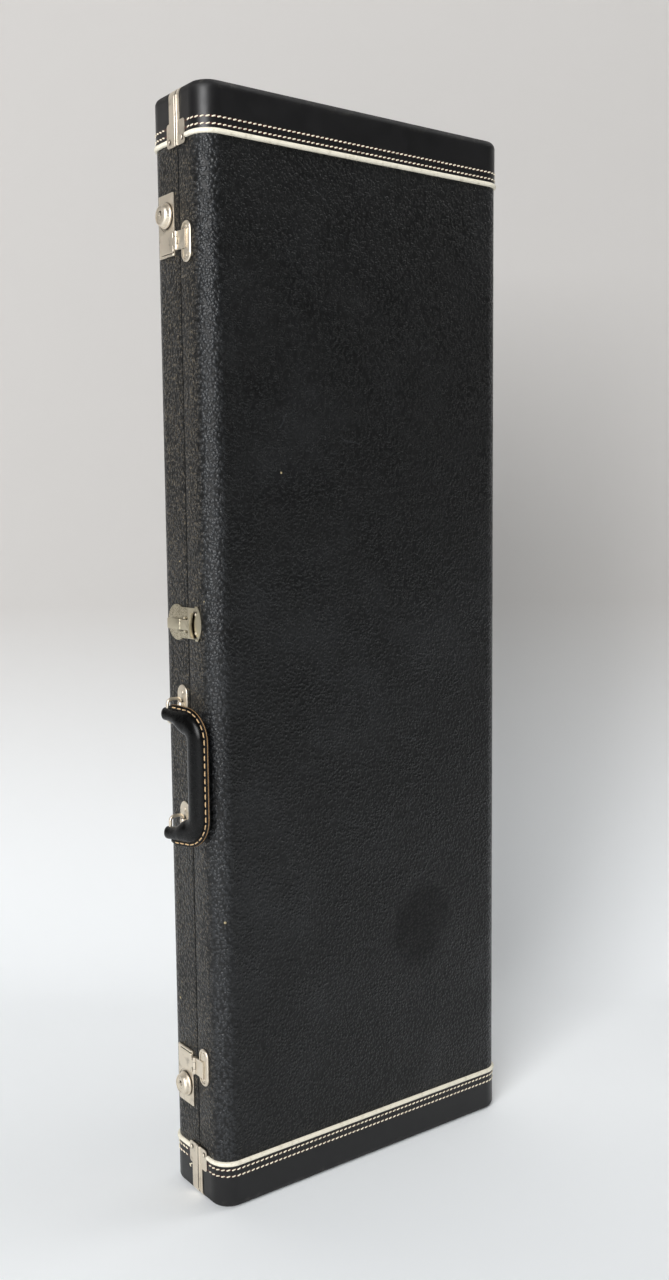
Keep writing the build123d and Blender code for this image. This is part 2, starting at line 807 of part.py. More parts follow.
def make_strike():
    """Strike on the lid: a waist beside the rim, a curved ridge and a crescent edge."""
    arc_y = parting_y - strike_reach + strike_arc_radius
    nose_y = parting_y - claw_nose_from_parting
    ridge_y = nose_y - claw_nose_radius
    waist_y = (rim(lid_half) + parting_y - strike_waist) / 2
    waist = rim(lid_half) - (parting_y - strike_waist)
    with BuildPart() as strike:
        with BuildSketch(latch_side(0, latch_z)):
            with Locations((0, arc_y)):
                Circle(strike_arc_radius)
            with Locations((0, parting_y - strike_waist - strike_reach / 2)):
                Rectangle(2 * strike_half, strike_reach, mode=Mode.INTERSECT)
            with Locations((0, waist_y)):
                Rectangle(2 * latch_waist_half, waist)
        extrude(amount=strike_t)
        with BuildSketch(latch_side(0, lever_z, height=strike_t)):
            with Locations((0, ridge_y)):
                Circle(claw_nose_radius + ridge_width / 2)
                Circle(claw_nose_radius - ridge_width / 2, mode=Mode.SUBTRACT)
            with Locations((0, nose_y)):
                Rectangle(2 * claw_nose_half, claw_nose_radius, mode=Mode.INTERSECT)
        extrude(amount=ridge_height)
    save("centre_strike", strike)


# Handle


def make_lug(lug):
    """Oval plate with a raised bridge, in whose tunnel the bail turns."""
    bridge_radius = wire_radius + wire_clear + bridge_wall
    with BuildPart() as plate:
        with BuildSketch(latch_side(lug_y, lug.z)):
            SlotOverall(lug_length, lug_width)
        extrude(amount=lug_t)
        chamfer(plate.faces().sort_by(Axis.X)[0].edges(), lug_t / 3)
        with BuildSketch(across(lug.z - bridge_half)):
            with Locations((-case_width / 2 - bail_axis_height, lug_y)):
                Circle(bridge_radius)
            with Locations((-case_width / 2 - bail_axis_height / 2, lug_y)):
                Rectangle(bail_axis_height, 2 * bridge_radius)
            with Locations((-case_width / 2 - case_depth / 2, lug_y)):
                Rectangle(case_depth, case_depth, mode=Mode.INTERSECT)
        extrude(amount=2 * bridge_half)
        bore(lug_y, lug.z, bail_axis_height, wire_radius + wire_clear, lug_length)
    save(f"{lug.name}_handle_lug", plate)


def make_bail(lug):
    """Wire loop: one side in the lug's tunnel, the other through the handle's end."""
    inner_x = -case_width / 2 - bail_axis_height
    outer_x = -case_width / 2 - bail_reach
    centre_z = lug.z - bail_drop
    top_z = centre_z + bail_half
    with BuildPart() as bail:
        with BuildLine() as path:
            Polyline(
                (inner_x, lug_y, centre_z),
                (inner_x, lug_y, top_z - bail_bend),
                (inner_x - bail_bend, lug_y, top_z),
                (outer_x + bail_bend, lug_y, top_z),
                (outer_x, lug_y, top_z - bail_bend),
                (outer_x, lug_y, centre_z),
            )
        with BuildSketch(Plane(origin=path.line @ 0, z_dir=path.line % 0)):
            Circle(wire_radius)
        sweep(transition=Transition.RIGHT)
        mirror(about=Plane.XY.offset(centre_z))
    save(f"{lug.name}_bail", bail)


def make_handle():
    """Padded leather handle: a U-shaped roll that narrows to two loops, with a welt round it."""
    lean = radians(handle_lean)
    place = Plane(
        origin=(-case_width / 2 - bail_reach, lug_y, handle_z),
        x_dir=(0, 0, 1),
        z_dir=(cos(lean), sin(lean), 0),
    )
    loop_z = lug_spacing / 2
    outer = roll_half_length + roll_half_width
    inner = roll_half_length - roll_half_width
    with BuildPart() as handle:
        with BuildSketch(mode=Mode.PRIVATE) as opening:
            grip_y = handle_depth - roll_half_width
            loop_x = loop_z - loop_length / 2
            Polygon(
                (-loop_x, -loop_length),
                (-loop_x, loop_radius / 2),
                (-inner, arm_length),
                (-inner, grip_y),
                (inner, grip_y),
                (inner, arm_length),
                (loop_x, loop_radius / 2),
                (loop_x, -loop_length),
                align=None,
            )
            fillet(opening.vertices().group_by(Axis.Y)[-1], roll_bend - roll_half_width)
        with BuildSketch(place.offset(-roll_half_thick)) as face:
            rear = handle_depth + roll_half_width
            with Locations((0, (rear - loop_radius) / 2)):
                Rectangle(2 * outer, rear + loop_radius)
            fillet(face.vertices().group_by(Axis.Y)[-1], roll_bend + roll_half_width)
            add(opening.sketch, mode=Mode.SUBTRACT)
        extrude(amount=2 * roll_half_thick)
        flats = handle.faces().sort_by(Axis(place.origin, place.z_dir))
        chamfer(flats[0].edges() + flats[-1].edges(), roll_bevel)
        with BuildSketch(Plane(origin=place.origin, x_dir=place.y_dir, z_dir=place.x_dir)):
            Circle(loop_radius)
            Polygon(
                (0, -loop_radius),
                (arm_length, -roll_half_thick),
                (2 * handle_depth, -roll_half_thick),
                (2 * handle_depth, roll_half_thick),
                (arm_length, roll_half_thick),
                (0, loop_radius),
                align=None,
            )
        extrude(amount=2 * outer, both=True, mode=Mode.INTERSECT)
        with BuildSketch(place.offset(-welt_t / 2)) as welt:
            edge = outer + welt_reach / 2
            back = handle_depth + roll_half_width + welt_reach
            with Locations((0, back / 2)):
                Rectangle(2 * edge, back)
            fillet(welt.vertices().group_by(Axis.Y)[-1], roll_bend + roll_half_width)
            with Locations((0, handle_depth / 2)):
                Rectangle(2 * roll_half_length, handle_depth, mode=Mode.SUBTRACT)
            for side in (-1, 1):
                with Locations((side * edge, 0)):
                    Circle(welt_corner, mode=Mode.SUBTRACT)
            with Locations((0, welt_start / 2)):
                Rectangle(4 * outer, welt_start, mode=Mode.SUBTRACT)
        extrude(amount=welt_t)
        for side in (-1, 1):
            with BuildSketch(across(handle_z + side * loop_z - loop_length)):
                with Locations((-case_width / 2 - bail_reach, lug_y)):
                    Circle(wire_radius + wire_clear)
            extrude(amount=2 * loop_length, mode=Mode.SUBTRACT)
    save("handle_grip", handle)


# Hinges


def knuckle_z(index):
    """Lower z and length of one hinge knuckle, from the hinge's lower end."""
    pitch = hinge_length / hinge_knuckles
    return index * pitch + hinge_knuckle_gap / 2, pitch - hinge_knuckle_gap


def make_hinge_leaves(half):
    """Three hinge leaves of one half, with every other knuckle."""
    leaf_start = hinge_barrel_radius + hinge_knuckle_gap
    first = 0 if half is base_half else 1
    with BuildPart() as leaves:
        for height in hinge_heights:
            leaf_y = parting_y + half.outward * (leaf_start + hinge_leaf_width) / 2
            with BuildSketch(hinge_side(leaf_y, height)) as leaf:
                Rectangle(hinge_length, hinge_leaf_width - leaf_start)
                corners = leaf.vertices().group_by(Axis.Y)[-1 if half.outward > 0 else 0]
                fillet(corners, flange_round)
            extrude(amount=hinge_leaf_t)
            for index in range(first, hinge_knuckles, 2):
                offset, length = knuckle_z(index)
                with BuildSketch(across(height - hinge_length / 2 + offset)):
                    with Locations((hinge_axis_x, parting_y)):
                        Circle(hinge_barrel_radius)
                    web_y = parting_y + half.outward * (leaf_start + parting_gap / 2) / 2
                    with Locations((case_width / 2 + hinge_leaf_t / 2, web_y)):
                        Rectangle(hinge_leaf_t, leaf_start - parting_gap / 2)
                    with Locations((hinge_axis_x, parting_y)):
                        Circle(hinge_pin_radius + hinge_bore_clear, mode=Mode.SUBTRACT)
                extrude(amount=length)
    save(f"hinge_{half.name}_leaves", leaves)


def make_hinge_pins():
    """The three hinge pins."""
    with BuildPart() as pins:
        for height in hinge_heights:
            length = hinge_length + 2 * hinge_pin_overhang
            with BuildSketch(across(height - length / 2)):
                with Locations((hinge_axis_x, parting_y)):
                    Circle(hinge_pin_radius)
            extrude(amount=length)
    save("hinge_pins", pins)


# Lining and padding


def cut_tray(outer_y, lip_y):
    """Hollow out a lining and part it along its glue lines into a floor, two sides and two ends."""
    inner_x = case_width / 2 - lining_inset
    length = case_height - 2 * cavity_low
    with BuildSketch(across(cavity_low + lining_t), mode=Mode.PRIVATE) as sheet:
        with Locations((0, (outer_y + lip_y) / 2)):
            Rectangle(2 * inner_x, abs(outer_y - lip_y))
    extrude(sheet.sketch, amount=length - 2 * lining_t, mode=Mode.SUBTRACT)
    seam = glue_line if outer_y > 0 else -glue_line
    with BuildSketch(across(cavity_low), mode=Mode.PRIVATE) as sheet:
        with Locations((0, outer_y - seam / 2)):
            Rectangle(case_width, glue_line)
        for side in (-1, 1):
            with Locations((side * (inner_x - glue_line / 2), (outer_y - seam + lip_y) / 2)):
                Rectangle(glue_line, abs(outer_y - seam - lip_y))
    extrude(sheet.sketch, amount=length, mode=Mode.SUBTRACT)


def make_base_lining():
    """Plush-covered sheets of the base, whose edges stand up into the lid as a dust lip."""
    length = case_height - 2 * cavity_low
    lip_top = rim(base_half) - lip_height
    with BuildPart() as lining:
        with BuildSketch(across(cavity_low)):
            lining_outline()
            keep_half(base_half)
        extrude(amount=length)
        with BuildSketch(across(cavity_low + lip_clear)):
            with Locations((0, rim(base_half) - lip_height / 2)):
                Rectangle(case_width - 2 * wall_inset - 2 * lip_clear, lip_height)
        extrude(amount=length - 2 * lip_clear)
        cut_tray(floor_y, lip_top)
    save("base_lining", lining)


def make_lid_lining():
    """Plush-covered sheets of the lid, which stop short of the base's dust lip."""
    edge = rim(base_half) - lip_height - lip_clear
    with BuildPart() as lining:
        with BuildSketch(across(cavity_low)):
            lining_outline()
            keep_band(edge, -case_depth)
        extrude(amount=case_height - 2 * cavity_low)
        cut_tray(-floor_y, edge)
    save("lid_lining", lining)


def lining_outline():
    """Outline of the boards' inside, with the battens' rounded corners."""
    RectangleRounded(case_width - 2 * wall_inset, case_depth - 2 * wall_inset, batten_inner_radius)


def tray_floor():
    """Plane on the lining's floor: local x is +X, local y is +Z, and the normal points to the lid."""
    return Plane.XZ.offset(-floor_y)


def make_end_pad():
    """Pad below the guitar's body, hollowed to the round end."""
    low = cavity_low + lining_t
    with BuildPart() as pad:
        with BuildSketch(tray_floor()):
            with Locations((0, low + end_pad_length / 2)):
                Rectangle(case_width - 2 * lining_inset, end_pad_length)
            with Locations((0, low + end_pad_floor + end_pad_hollow)):
                Circle(end_pad_hollow, mode=Mode.SUBTRACT)
        extrude(amount=floor_y - pad_top_y)
    save("body_end_pad", pad)


def make_waist_pads():
    """Pair of pads that reach into the waist of the guitar's body."""
    inner_x = case_width / 2 - lining_inset
    radius = (waist_pad_half**2 + waist_pad_reach**2) / (2 * waist_pad_reach)
    with BuildPart() as pads:
        for side in (-1, 1):
            with BuildSketch(tray_floor()):
                with Locations((side * (inner_x - waist_pad_reach + radius), waist_pad_from_floor)):
                    Circle(radius)
                with Locations((side * (inner_x - waist_pad_reach / 2), waist_pad_from_floor)):
                    Rectangle(waist_pad_reach, 2 * waist_pad_half, mode=Mode.INTERSECT)
            extrude(amount=floor_y - pad_top_y)
    save("waist_pads", pads)


def make_shoulder_pads():
    """Pair of pads above the body, one on each side of the neck."""
    width = case_width / 2 - lining_inset - neck_gap / 2
    centre_z = shoulder_from_floor + shoulder_length / 2
    bout_z = shoulder_from_floor + shoulder_bite - shoulder_hollow
    with BuildPart() as pads:
        for side in (-1, 1):
            with BuildSketch(tray_floor()):
                with Locations((side * (neck_gap + width) / 2, centre_z)):
                    Rectangle(width, shoulder_length)
                with Locations((side * neck_gap, bout_z)):
                    Circle(shoulder_hollow, mode=Mode.SUBTRACT)
            extrude(amount=floor_y - pad_top_y)
    save("shoulder_pads", pads)


def make_cradle():
    """Block under the neck with a round notch."""
    top_y = pad_top_y + pad_drop
    with BuildPart() as cradle:
        with BuildSketch(across(cradle_from_floor)):
            with Locations((0, (floor_y + top_y) / 2)):
                Rectangle(2 * cradle_half, floor_y - top_y)
            with Locations((0, top_y + cradle_notch_depth - cradle_notch_radius)):
                Circle(cradle_notch_radius, mode=Mode.SUBTRACT)
        extrude(amount=cradle_length)
    save("neck_cradle", cradle)


def make_accessory_box():
    """Three lined walls that close off a compartment beside the neck."""
    outer_x = -case_width / 2 + lining_inset
    width = box_inner_x - outer_x
    centre = ((outer_x + box_inner_x) / 2, box_from_floor + box_length / 2)
    with BuildPart() as box:
        with BuildSketch(tray_floor()):
            with Locations(centre):
                Rectangle(width, box_length)
            with Locations((centre[0] - box_wall, centre[1])):
                Rectangle(width, box_length - 2 * box_wall, mode=Mode.SUBTRACT)
        extrude(amount=floor_y - pad_top_y)
    save("accessory_box", box)


# Build every piece

for half in (base_half, lid_half):
    make_panel(half)
    make_wall(half, -1, "handle")
    make_wall(half, 1, "hinge")
    make_edge_battens(half)
    make_end_boards(half)
    make_covering(half)
    for end in (lower_end, upper_end):
        make_leather(half, end)
        make_piping(half, end)
        make_strip(half, end)
    make_hinge_leaves(half)

for lock in locks:
    make_lock_plate(lock)
    make_knob(lock)
    make_key_plug(lock)
    make_hasp(lock)
    make_hasp_plate(lock)

make_hasp_pins()
make_latch_plate()
make_lever_pin()
make_lever()
make_claw_pin()
make_claw()
make_strike()

for lug in lugs:
    make_lug(lug)
    make_bail(lug)

make_handle()
make_hinge_pins()
make_base_lining()
make_lid_lining()
make_end_pad()
make_waist_pads()
make_shoulder_pads()
make_cradle()
make_accessory_box()
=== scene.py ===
"""Looks of a rectangular guitar hard case: covering, leather ends, metalwork, handle and lining."""

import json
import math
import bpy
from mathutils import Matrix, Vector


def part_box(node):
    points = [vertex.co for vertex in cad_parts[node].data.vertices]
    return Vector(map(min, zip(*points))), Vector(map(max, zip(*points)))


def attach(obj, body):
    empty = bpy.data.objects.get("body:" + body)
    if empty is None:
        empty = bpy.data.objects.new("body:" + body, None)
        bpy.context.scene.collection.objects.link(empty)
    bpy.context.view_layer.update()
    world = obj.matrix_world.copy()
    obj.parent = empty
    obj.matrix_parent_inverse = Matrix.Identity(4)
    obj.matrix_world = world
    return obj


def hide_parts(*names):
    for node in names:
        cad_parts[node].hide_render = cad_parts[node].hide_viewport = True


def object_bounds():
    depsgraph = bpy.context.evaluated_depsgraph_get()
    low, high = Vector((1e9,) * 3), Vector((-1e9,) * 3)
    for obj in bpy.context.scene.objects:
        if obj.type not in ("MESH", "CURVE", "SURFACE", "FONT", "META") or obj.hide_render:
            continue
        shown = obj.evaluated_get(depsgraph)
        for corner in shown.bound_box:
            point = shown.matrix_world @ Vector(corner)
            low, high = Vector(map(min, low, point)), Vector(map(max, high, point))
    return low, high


bl_info = {
    "name": "Hard Case Finisher",
    "version": (1, 0, 0),
    "blender": (4, 5, 0),
    "location": "3D View > Sidebar > Hard Case",
    "description": "Dresses the packed hard case with its materials, stitching, handle and lining",
    "category": "Object",
}

import bmesh
import bpy
from bpy.props import FloatProperty, FloatVectorProperty, IntProperty, PointerProperty
from mathutils import Matrix, Vector

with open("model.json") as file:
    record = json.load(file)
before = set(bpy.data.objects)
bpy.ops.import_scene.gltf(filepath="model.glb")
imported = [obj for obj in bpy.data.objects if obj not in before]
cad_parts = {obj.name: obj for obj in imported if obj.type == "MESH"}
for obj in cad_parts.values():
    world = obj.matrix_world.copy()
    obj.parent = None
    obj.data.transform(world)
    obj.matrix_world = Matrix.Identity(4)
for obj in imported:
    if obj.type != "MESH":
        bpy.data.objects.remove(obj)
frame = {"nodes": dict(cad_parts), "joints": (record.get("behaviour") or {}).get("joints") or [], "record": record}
CAD_BOX = [list(corner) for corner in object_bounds()]

MM = 0.001
HEIGHT = CAD_BOX[1][2]
HALVES = (("base", 1), ("lid", -1))
ENDS = ("lower", "upper")
BODIES = frame["record"]["behaviour"]["bodies"]
BODY_OF = {part: body for body, parts in BODIES.items() for part in parts}
PIVOTS = {joint["name"]: Vector(joint.get("pos_m", (0, 0, 0))) for joint in frame["joints"]}
PARTING = PIVOTS["lid_hinge"].y
COVERED_HALF = -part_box("lid_covering")[0].x
LEATHER_HALF = -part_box("lid_lower_leather")[0].x


def linear(code):
    """Linear colour, with full alpha, of an sRGB hex value such as #1b1d1d."""
    shares = [int(code[i : i + 2], 16) / 255 for i in (1, 3, 5)]
    return [s / 12.92 if s <= 0.04045 else ((s + 0.055) / 1.055) ** 2.4 for s in shares] + [1.0]


def colour(code, name, description):
    """A colour setting whose default is an sRGB hex value."""
    return FloatVectorProperty(
        name=name,
        description=description,
        subtype="COLOR",
        size=4,
        min=0,
        max=1,
        default=linear(code),
    )


def length(millimetres, name, description):
    """A length setting whose default is given in millimetres."""
    return FloatProperty(
        name=name,
        description=description,
        default=millimetres * MM,
        min=0,
        unit="LENGTH",
        precision=5,
    )


def tilt(degrees, name, description):
    """An angle setting whose default is given in degrees."""
    return FloatProperty(
        name=name, description=description, default=math.radians(degrees), subtype="ANGLE"
    )


def share(default, name, description):
    """A setting between nought and one."""
    return FloatProperty(
        name=name, description=description, default=default, min=0, max=1, subtype="FACTOR"
    )


# Settings


class CoveringSettings(bpy.types.PropertyGroup):
    """Grained vinyl of both halves"""

    tone: colour("#131414", "Vinyl", "Colour of the vinyl's grain tops")
    # Partly painted light: besides dust, this lighter colour on the narrow sides' grain paints in the sheen of the
    # lamp on them
    dust_and_sheen_tone: colour("#8d806a", "Dust", "Colour of the dust on the grain of the narrow sides")
    # Painted shade: this colour darkens the creases between the pebbles, as shade down in them; it is also the
    # stain's colour
    crease_shade_and_stain_tone: colour("#040404", "Crease", "Colour down in the creases between the grains")
    # Partly painted light: this colour also lightens the long rounded edges as a painted highlight
    worn_and_highlight_tone: colour("#3f4144", "Worn", "Colour where hands and floors have rubbed the vinyl")
    chip_tone: colour("#a99a78", "Chips", "Colour of the cloth where the vinyl is chipped")
    grain: length(2.9, "Grain", "Typical width of one pebble of the grain")
    depth: length(0.55, "Depth", "Height of the pebbles above the creases")
    rim_round: length(0.9, "Rim", "Radius where the vinyl turns in at the parting line")
    roughness: share(0.27, "Roughness", "Gloss of the grain tops")


class EndSettings(bpy.types.PropertyGroup):
    """Leather ends with their stitching and piping"""

    leather_tone: colour("#0c0c0c", "Leather", "Colour of the smooth leather")
    fold_tone: colour("#1a191a", "Folds", "Colour of the leather where its folds catch the light")
    scuff_tone: colour("#4a4742", "Scuff", "Colour of the leather where its edges are scuffed")
    thread_tone: colour("#f6ecd4", "Thread", "Colour of the waxed cotton thread")
    needle_tone: colour("#4a2219", "Needle holes", "Colour of the pulled leather along a row of stitches")
    piping_tone: colour("#f3ecd9", "Piping", "Colour of the vinyl piping")
    grime_and_shade_tone: colour("#94866a", "Grime", "Colour of the dirt on the piping")
    row_near: length(38.0, "Inner row", "Distance of the inner row of stitches from the end")
    row_far: length(31.8, "Outer row", "Distance of the outer row of stitches from the end")
    pitch: length(5.19, "Pitch", "Distance from one stitch to the next")
    stitch: length(3.8, "Stitch", "Length of one stitch")
    thread: length(1.3, "Thread", "Thickness of the thread")
    slant: tilt(16, "Slant", "Angle of each stitch to its row")


class MetalSettings(bpy.types.PropertyGroup):
    """Nickel-plated steel of the locks, hinges and strips"""

    tone: colour("#ece1cf", "Nickel", "Colour of the aged plating")
    latch_tone: colour("#c8bfa8", "Latch", "Colour of the latch's plating, worn and yellowed by thumbs")
    tarnish_tone: colour("#5d4d36", "Tarnish", "Colour of the tarnish in the hollows and stipple")
    # Painted shade: on the metal this colour darkens where parts meet, in the strips' joint and beside the claw's
    # nose
    grime_and_shade_tone: colour("#1c150c", "Grime", "Colour of the dirt where two parts meet")
    roughness: share(0.46, "Roughness", "Gloss of the plating")
    edge: length(0.22, "Edge", "Radius of the rolled edges of the stampings")
    rivet: length(2.3, "Rivet", "Radius of the rivet heads on hinges, strips and lugs")
    small_rivet: length(1.5, "Small rivet", "Radius of the rivet heads on the latches")
    wire: length(1.5, "Wire", "Radius of the bails' wire")
    wire_bend: length(4.4, "Wire bend", "Radius at which the bails' wire is bent")


class HandleSettings(bpy.types.PropertyGroup):
    """Leather handle with its sewn edge"""

    tone: colour("#050505", "Leather", "Colour of the handle's leather")
    rubbed_tone: colour("#242221", "Rubbed", "Colour of the leather where hands have rubbed it")
    thread_tone: colour("#cfae82", "Thread", "Colour of the tan thread")
    edge_tone: colour("#b08a5c", "Cut edge", "Colour of the cut edge between the two layers")
    pitch: length(7.0, "Pitch", "Distance from one stitch to the next")
    stitch: length(5.2, "Stitch", "Length of one stitch")
    thread: length(1.2, "Thread", "Thickness of the thread")
    depth: length(39.2, "Depth", "Distance from the bails to the middle of the grip")
    bend: length(15.0, "Bend", "Radius at which the roll's middle line turns")
    straight: length(34.7, "Straight", "Half the straight length of the grip")
    sag: length(1.8, "Sag", "How far the handle hangs below the middle between the bails")
    half_width: length(11.0, "Half width", "Half the roll's width in the handle's plane")
    half_thick: length(7.0, "Half thickness", "Half the roll's thickness")
    lean: tilt(10.6, "Lean", "Angle at which the handle hangs")


class LiningSettings(bpy.types.PropertyGroup):
    """Plush lining and padding inside the case"""

    tone: colour("#b5601f", "Plush", "Colour of the pile's tips")
    # Painted shade: this colour stands in for the shade down in the pile
    pile_shade_tone: colour("#5e2a0c", "Roots", "Colour down in the pile")
    sheen_tone: colour("#e8a468", "Sheen", "Colour of the soft light along the pile's edges")
    tuft: length(1.6, "Tuft", "Size of the tufts that the pile forms")
    voxel: length(6.0, "Voxel", "Grid on which the padding is made soft")
    swell: length(4.0, "Swell", "Most that the padding may swell")
    pressure: FloatProperty(name="Pressure", description="Pressure of the filling", default=4.0, min=0)
    frames: IntProperty(name="Frames", description="Steps for which the padding swells", default=20, min=2)
    wood_tone: colour("#c29a66", "Plywood", "Colour of the birch face veneer")
    wood_dark_tone: colour("#8a6236", "Grain", "Colour of the plywood's darker grain")


class StageSettings(bpy.types.PropertyGroup):
    """Floor, backdrop, lights and camera"""

    # Painted light: the floor's lighter colour and the hanging paper's darker one stand in for the light falling
    # more on the floor
    lit_floor_tone: colour("#f8fbfd", "Floor", "Colour of the paper on the floor")
    shaded_wall_tone: colour("#c9c6c3", "Wall", "Colour of the paper where it hangs")
    distance: length(1600.0, "Distance", "Distance from the camera to where the paper starts to rise")
    sweep: length(420.0, "Sweep", "Radius of the paper's curve")
    lens: FloatProperty(name="Lens", description="Focal length for the long side", default=35.455, min=1)


class CaseSettings(bpy.types.PropertyGroup):
    """All settings of the case"""

    covering: PointerProperty(type=CoveringSettings, name="Covering", description="Grained vinyl")
    ends: PointerProperty(type=EndSettings, name="Ends", description="Leather ends")
    metal: PointerProperty(type=MetalSettings, name="Metal", description="Nickel plating")
    handle: PointerProperty(type=HandleSettings, name="Handle", description="Leather handle")
    lining: PointerProperty(type=LiningSettings, name="Lining", description="Plush and boards")
    stage: PointerProperty(type=StageSettings, name="Stage", description="Floor, lights and camera")


# Small tools


def deselect():
    """Leave edit mode and select nothing."""
    if bpy.context.object and bpy.context.object.mode != "OBJECT":
        bpy.ops.object.mode_set(mode="OBJECT")
    bpy.ops.object.select_all(action="DESELECT")


def take(piece):
    """Make one object the only selected and the active one."""
    deselect()
    piece.select_set(True)
    bpy.context.view_layer.objects.active = piece


def edit(piece):
    """Open a piece in edit mode with all of it selected."""
    take(piece)
    bpy.ops.object.mode_set(mode="EDIT")
    bpy.ops.mesh.select_all(action="SELECT")


def pick(piece, test):
    """In edit mode, select only the vertices whose place passes the test, and what they bound."""
    bpy.ops.mesh.select_mode(type="VERT")
    bpy.ops.mesh.select_all(action="DESELECT")
    mesh = bmesh.from_edit_mesh(piece.data)
    for vertex in mesh.verts:
        vertex.select = test(vertex.co)
    mesh.select_flush(True)
    bmesh.update_edit_mesh(piece.data)


def apply_place(piece):
    """Move a piece's place, turn and size into its mesh."""
    take(piece)
    bpy.ops.object.transform_apply(location=True, rotation=True, scale=True)


def face_outwards(piece):
    """Turn all faces of a closed piece outwards."""
    edit(piece)
    bpy.ops.mesh.normals_make_consistent(inside=False)
    deselect()


def finish_with(piece, kind, **settings):
    """Add a modifier with these settings and apply it."""
    take(piece)
    bpy.ops.object.modifier_add(type=kind)
    modifier = piece.modifiers[-1]
    for name, value in settings.items():
        setattr(modifier, name, value)
    bpy.ops.object.modifier_apply(modifier=modifier.name)


def round_edges(piece, width, segments, degrees):
    """Round the edges at which a piece's faces meet at more than this angle."""
    finish_with(
        piece,
        "BEVEL",
        width=width,
        segments=segments,
        limit_method="ANGLE",
        angle_limit=math.radians(degrees),
    )


def settle(piece, name, material, body, smooth):
    """Name a piece, place it in its mesh, shade it, and give it its material and body."""
    apply_place(piece)
    if not piece.data.polygons:
        raise RuntimeError(f"{name} has no faces")
    bpy.ops.object.shade_smooth_by_angle(angle=math.radians(smooth))
    piece.name = piece.data.name = name
    piece.data.materials.clear()
    piece.data.materials.append(material)
    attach(piece, body)


def copy_of(part):
    """A merged copy of a CAD node's mesh, without its flat facets' inner edges."""
    take(frame["nodes"][part])
    bpy.ops.object.duplicate()
    piece = bpy.context.object
    piece.parent = None
    for key in list(piece.keys()):
        del piece[key]
    edit(piece)
    bpy.ops.mesh.remove_doubles(threshold=0.002 * MM)
    bpy.ops.mesh.dissolve_limited(angle_limit=math.radians(1.5))
    deselect()
    return piece


def dress(part, material):
    """Give a CAD node a better material."""
    for place in frame["nodes"][part].material_slots:
        place.material = material


def repeat(model, places):
    """Copy a model to each place, each copy with its own mesh, join the copies and drop the model."""
    copies = []
    for place in places:
        copy = model.copy()
        copy.data = model.data.copy()
        copy.data.transform(place)
        bpy.context.scene.collection.objects.link(copy)
        copies.append(copy)
    deselect()
    for copy in copies:
        copy.select_set(True)
    bpy.context.view_layer.objects.active = copies[0]
    bpy.ops.object.join()
    bpy.data.objects.remove(model)
    return bpy.context.object


def draw_out(move):
    """In edit mode, extrude what is selected by this move."""
    bpy.ops.mesh.extrude_region_move(TRANSFORM_OT_translate={"value": move})


def pull(at, stations, axes):
    """In edit mode, draw the selected end out through stations: a place and two shares of its size.

    The shares are of the end's first size. axes says which of the two, 1 or 2, goes for each of
    X, Y and Z, and is 0 for the axis along which nothing grows.
    """
    before = (1.0, 1.0)
    for place, *sizes in stations:
        draw_out(Vector(place) - at)
        at = Vector(place)
        growth = [new / old for new, old in zip(sizes, before)]
        factors = [growth[axis - 1] if axis else 1.0 for axis in axes]
        bpy.ops.transform.resize(value=factors, center_override=at)
        before = sizes


# Materials


def plug(tree, target, inputs):
    """Set or link the inputs of a node."""
    for name, value in inputs.items():
        if isinstance(value, bpy.types.NodeSocket):
            tree.links.new(value, target.inputs[name])
        else:
            target.inputs[name].default_value = value


def node(tree, kind, inputs, output=0, **settings):
    """Add a node with its settings and inputs, and give back one of its outputs."""
    made = tree.nodes.new(kind)
    for name, value in settings.items():
        setattr(made, name, value)
    plug(tree, made, inputs)
    return made.outputs[output]


def new_material(name):
    """Material with an empty tree: gives it back with its tree, shader and Object coordinates."""
    material = bpy.data.materials.new(name)
    material.use_nodes = True
    tree = material.node_tree
    tree.nodes.clear()
    shader = tree.nodes.new("ShaderNodeBsdfPrincipled")
    plug(tree, tree.nodes.new("ShaderNodeOutputMaterial"), {"Surface": shader.outputs["BSDF"]})
    return material, tree, shader, node(tree, "ShaderNodeTexCoord", {}, "Object")


def every(millimetres):
    """Scale of a pattern whose grains or patches lie about this many millimetres apart."""
    return 1 / (millimetres * MM)


def patches(tree, place, millimetres, thin, thick, most=1.0, detail=3.0, roughness=0.5, soft=False):
    """Cloudy patches of about this size: 0 where the cloud is thin, up to most where it is thick."""
    cloud = {"Vector": place, "Scale": every(millimetres), "Detail": detail, "Roughness": roughness}
    return node(
        tree,
        "ShaderNodeMapRange",
        {
            "Value": node(tree, "ShaderNodeTexNoise", cloud),
            "From Min": thin,
            "From Max": thick,
            "To Max": most,
        },
        interpolation_type="SMOOTHSTEP" if soft else "LINEAR",
    )


def apart(tree, value, middle):
    """How far a value is from a middle one, to either side."""
    off = node(tree, "ShaderNodeMath", {0: value, 1: middle}, operation="SUBTRACT")
    return node(tree, "ShaderNodeMath", {0: off}, operation="ABSOLUTE")


BLACK = (0, 0, 0, 1)
# Places read off the photo on the faces they lie on, in metres
STAIN_CENTRE = (0.068, -0.0458, 0.226)
STAIN_SIZE = (0.056, 0.02, 0.062)
CHIPS = (
    ((-0.1762, -0.0331, 0.5681), 0.0014),
    ((-0.0991, -0.0458, 0.6823), 0.0012),
    ((-0.1667, -0.0440, 0.2747), 0.0016),
    ((-0.1762, 0.0248, 0.1854), 0.0014),
    ((-0.1762, 0.0071, 0.6030), 0.0010),
)
# The rubbing and painted highlight of the long edges start and are full at these sums of the distances from the
# middle, one towards the narrow side and one towards the wide face
RUB_AND_HIGHLIGHT_STARTS = 201 * MM
RUB_AND_HIGHLIGHT_FULL = 212 * MM


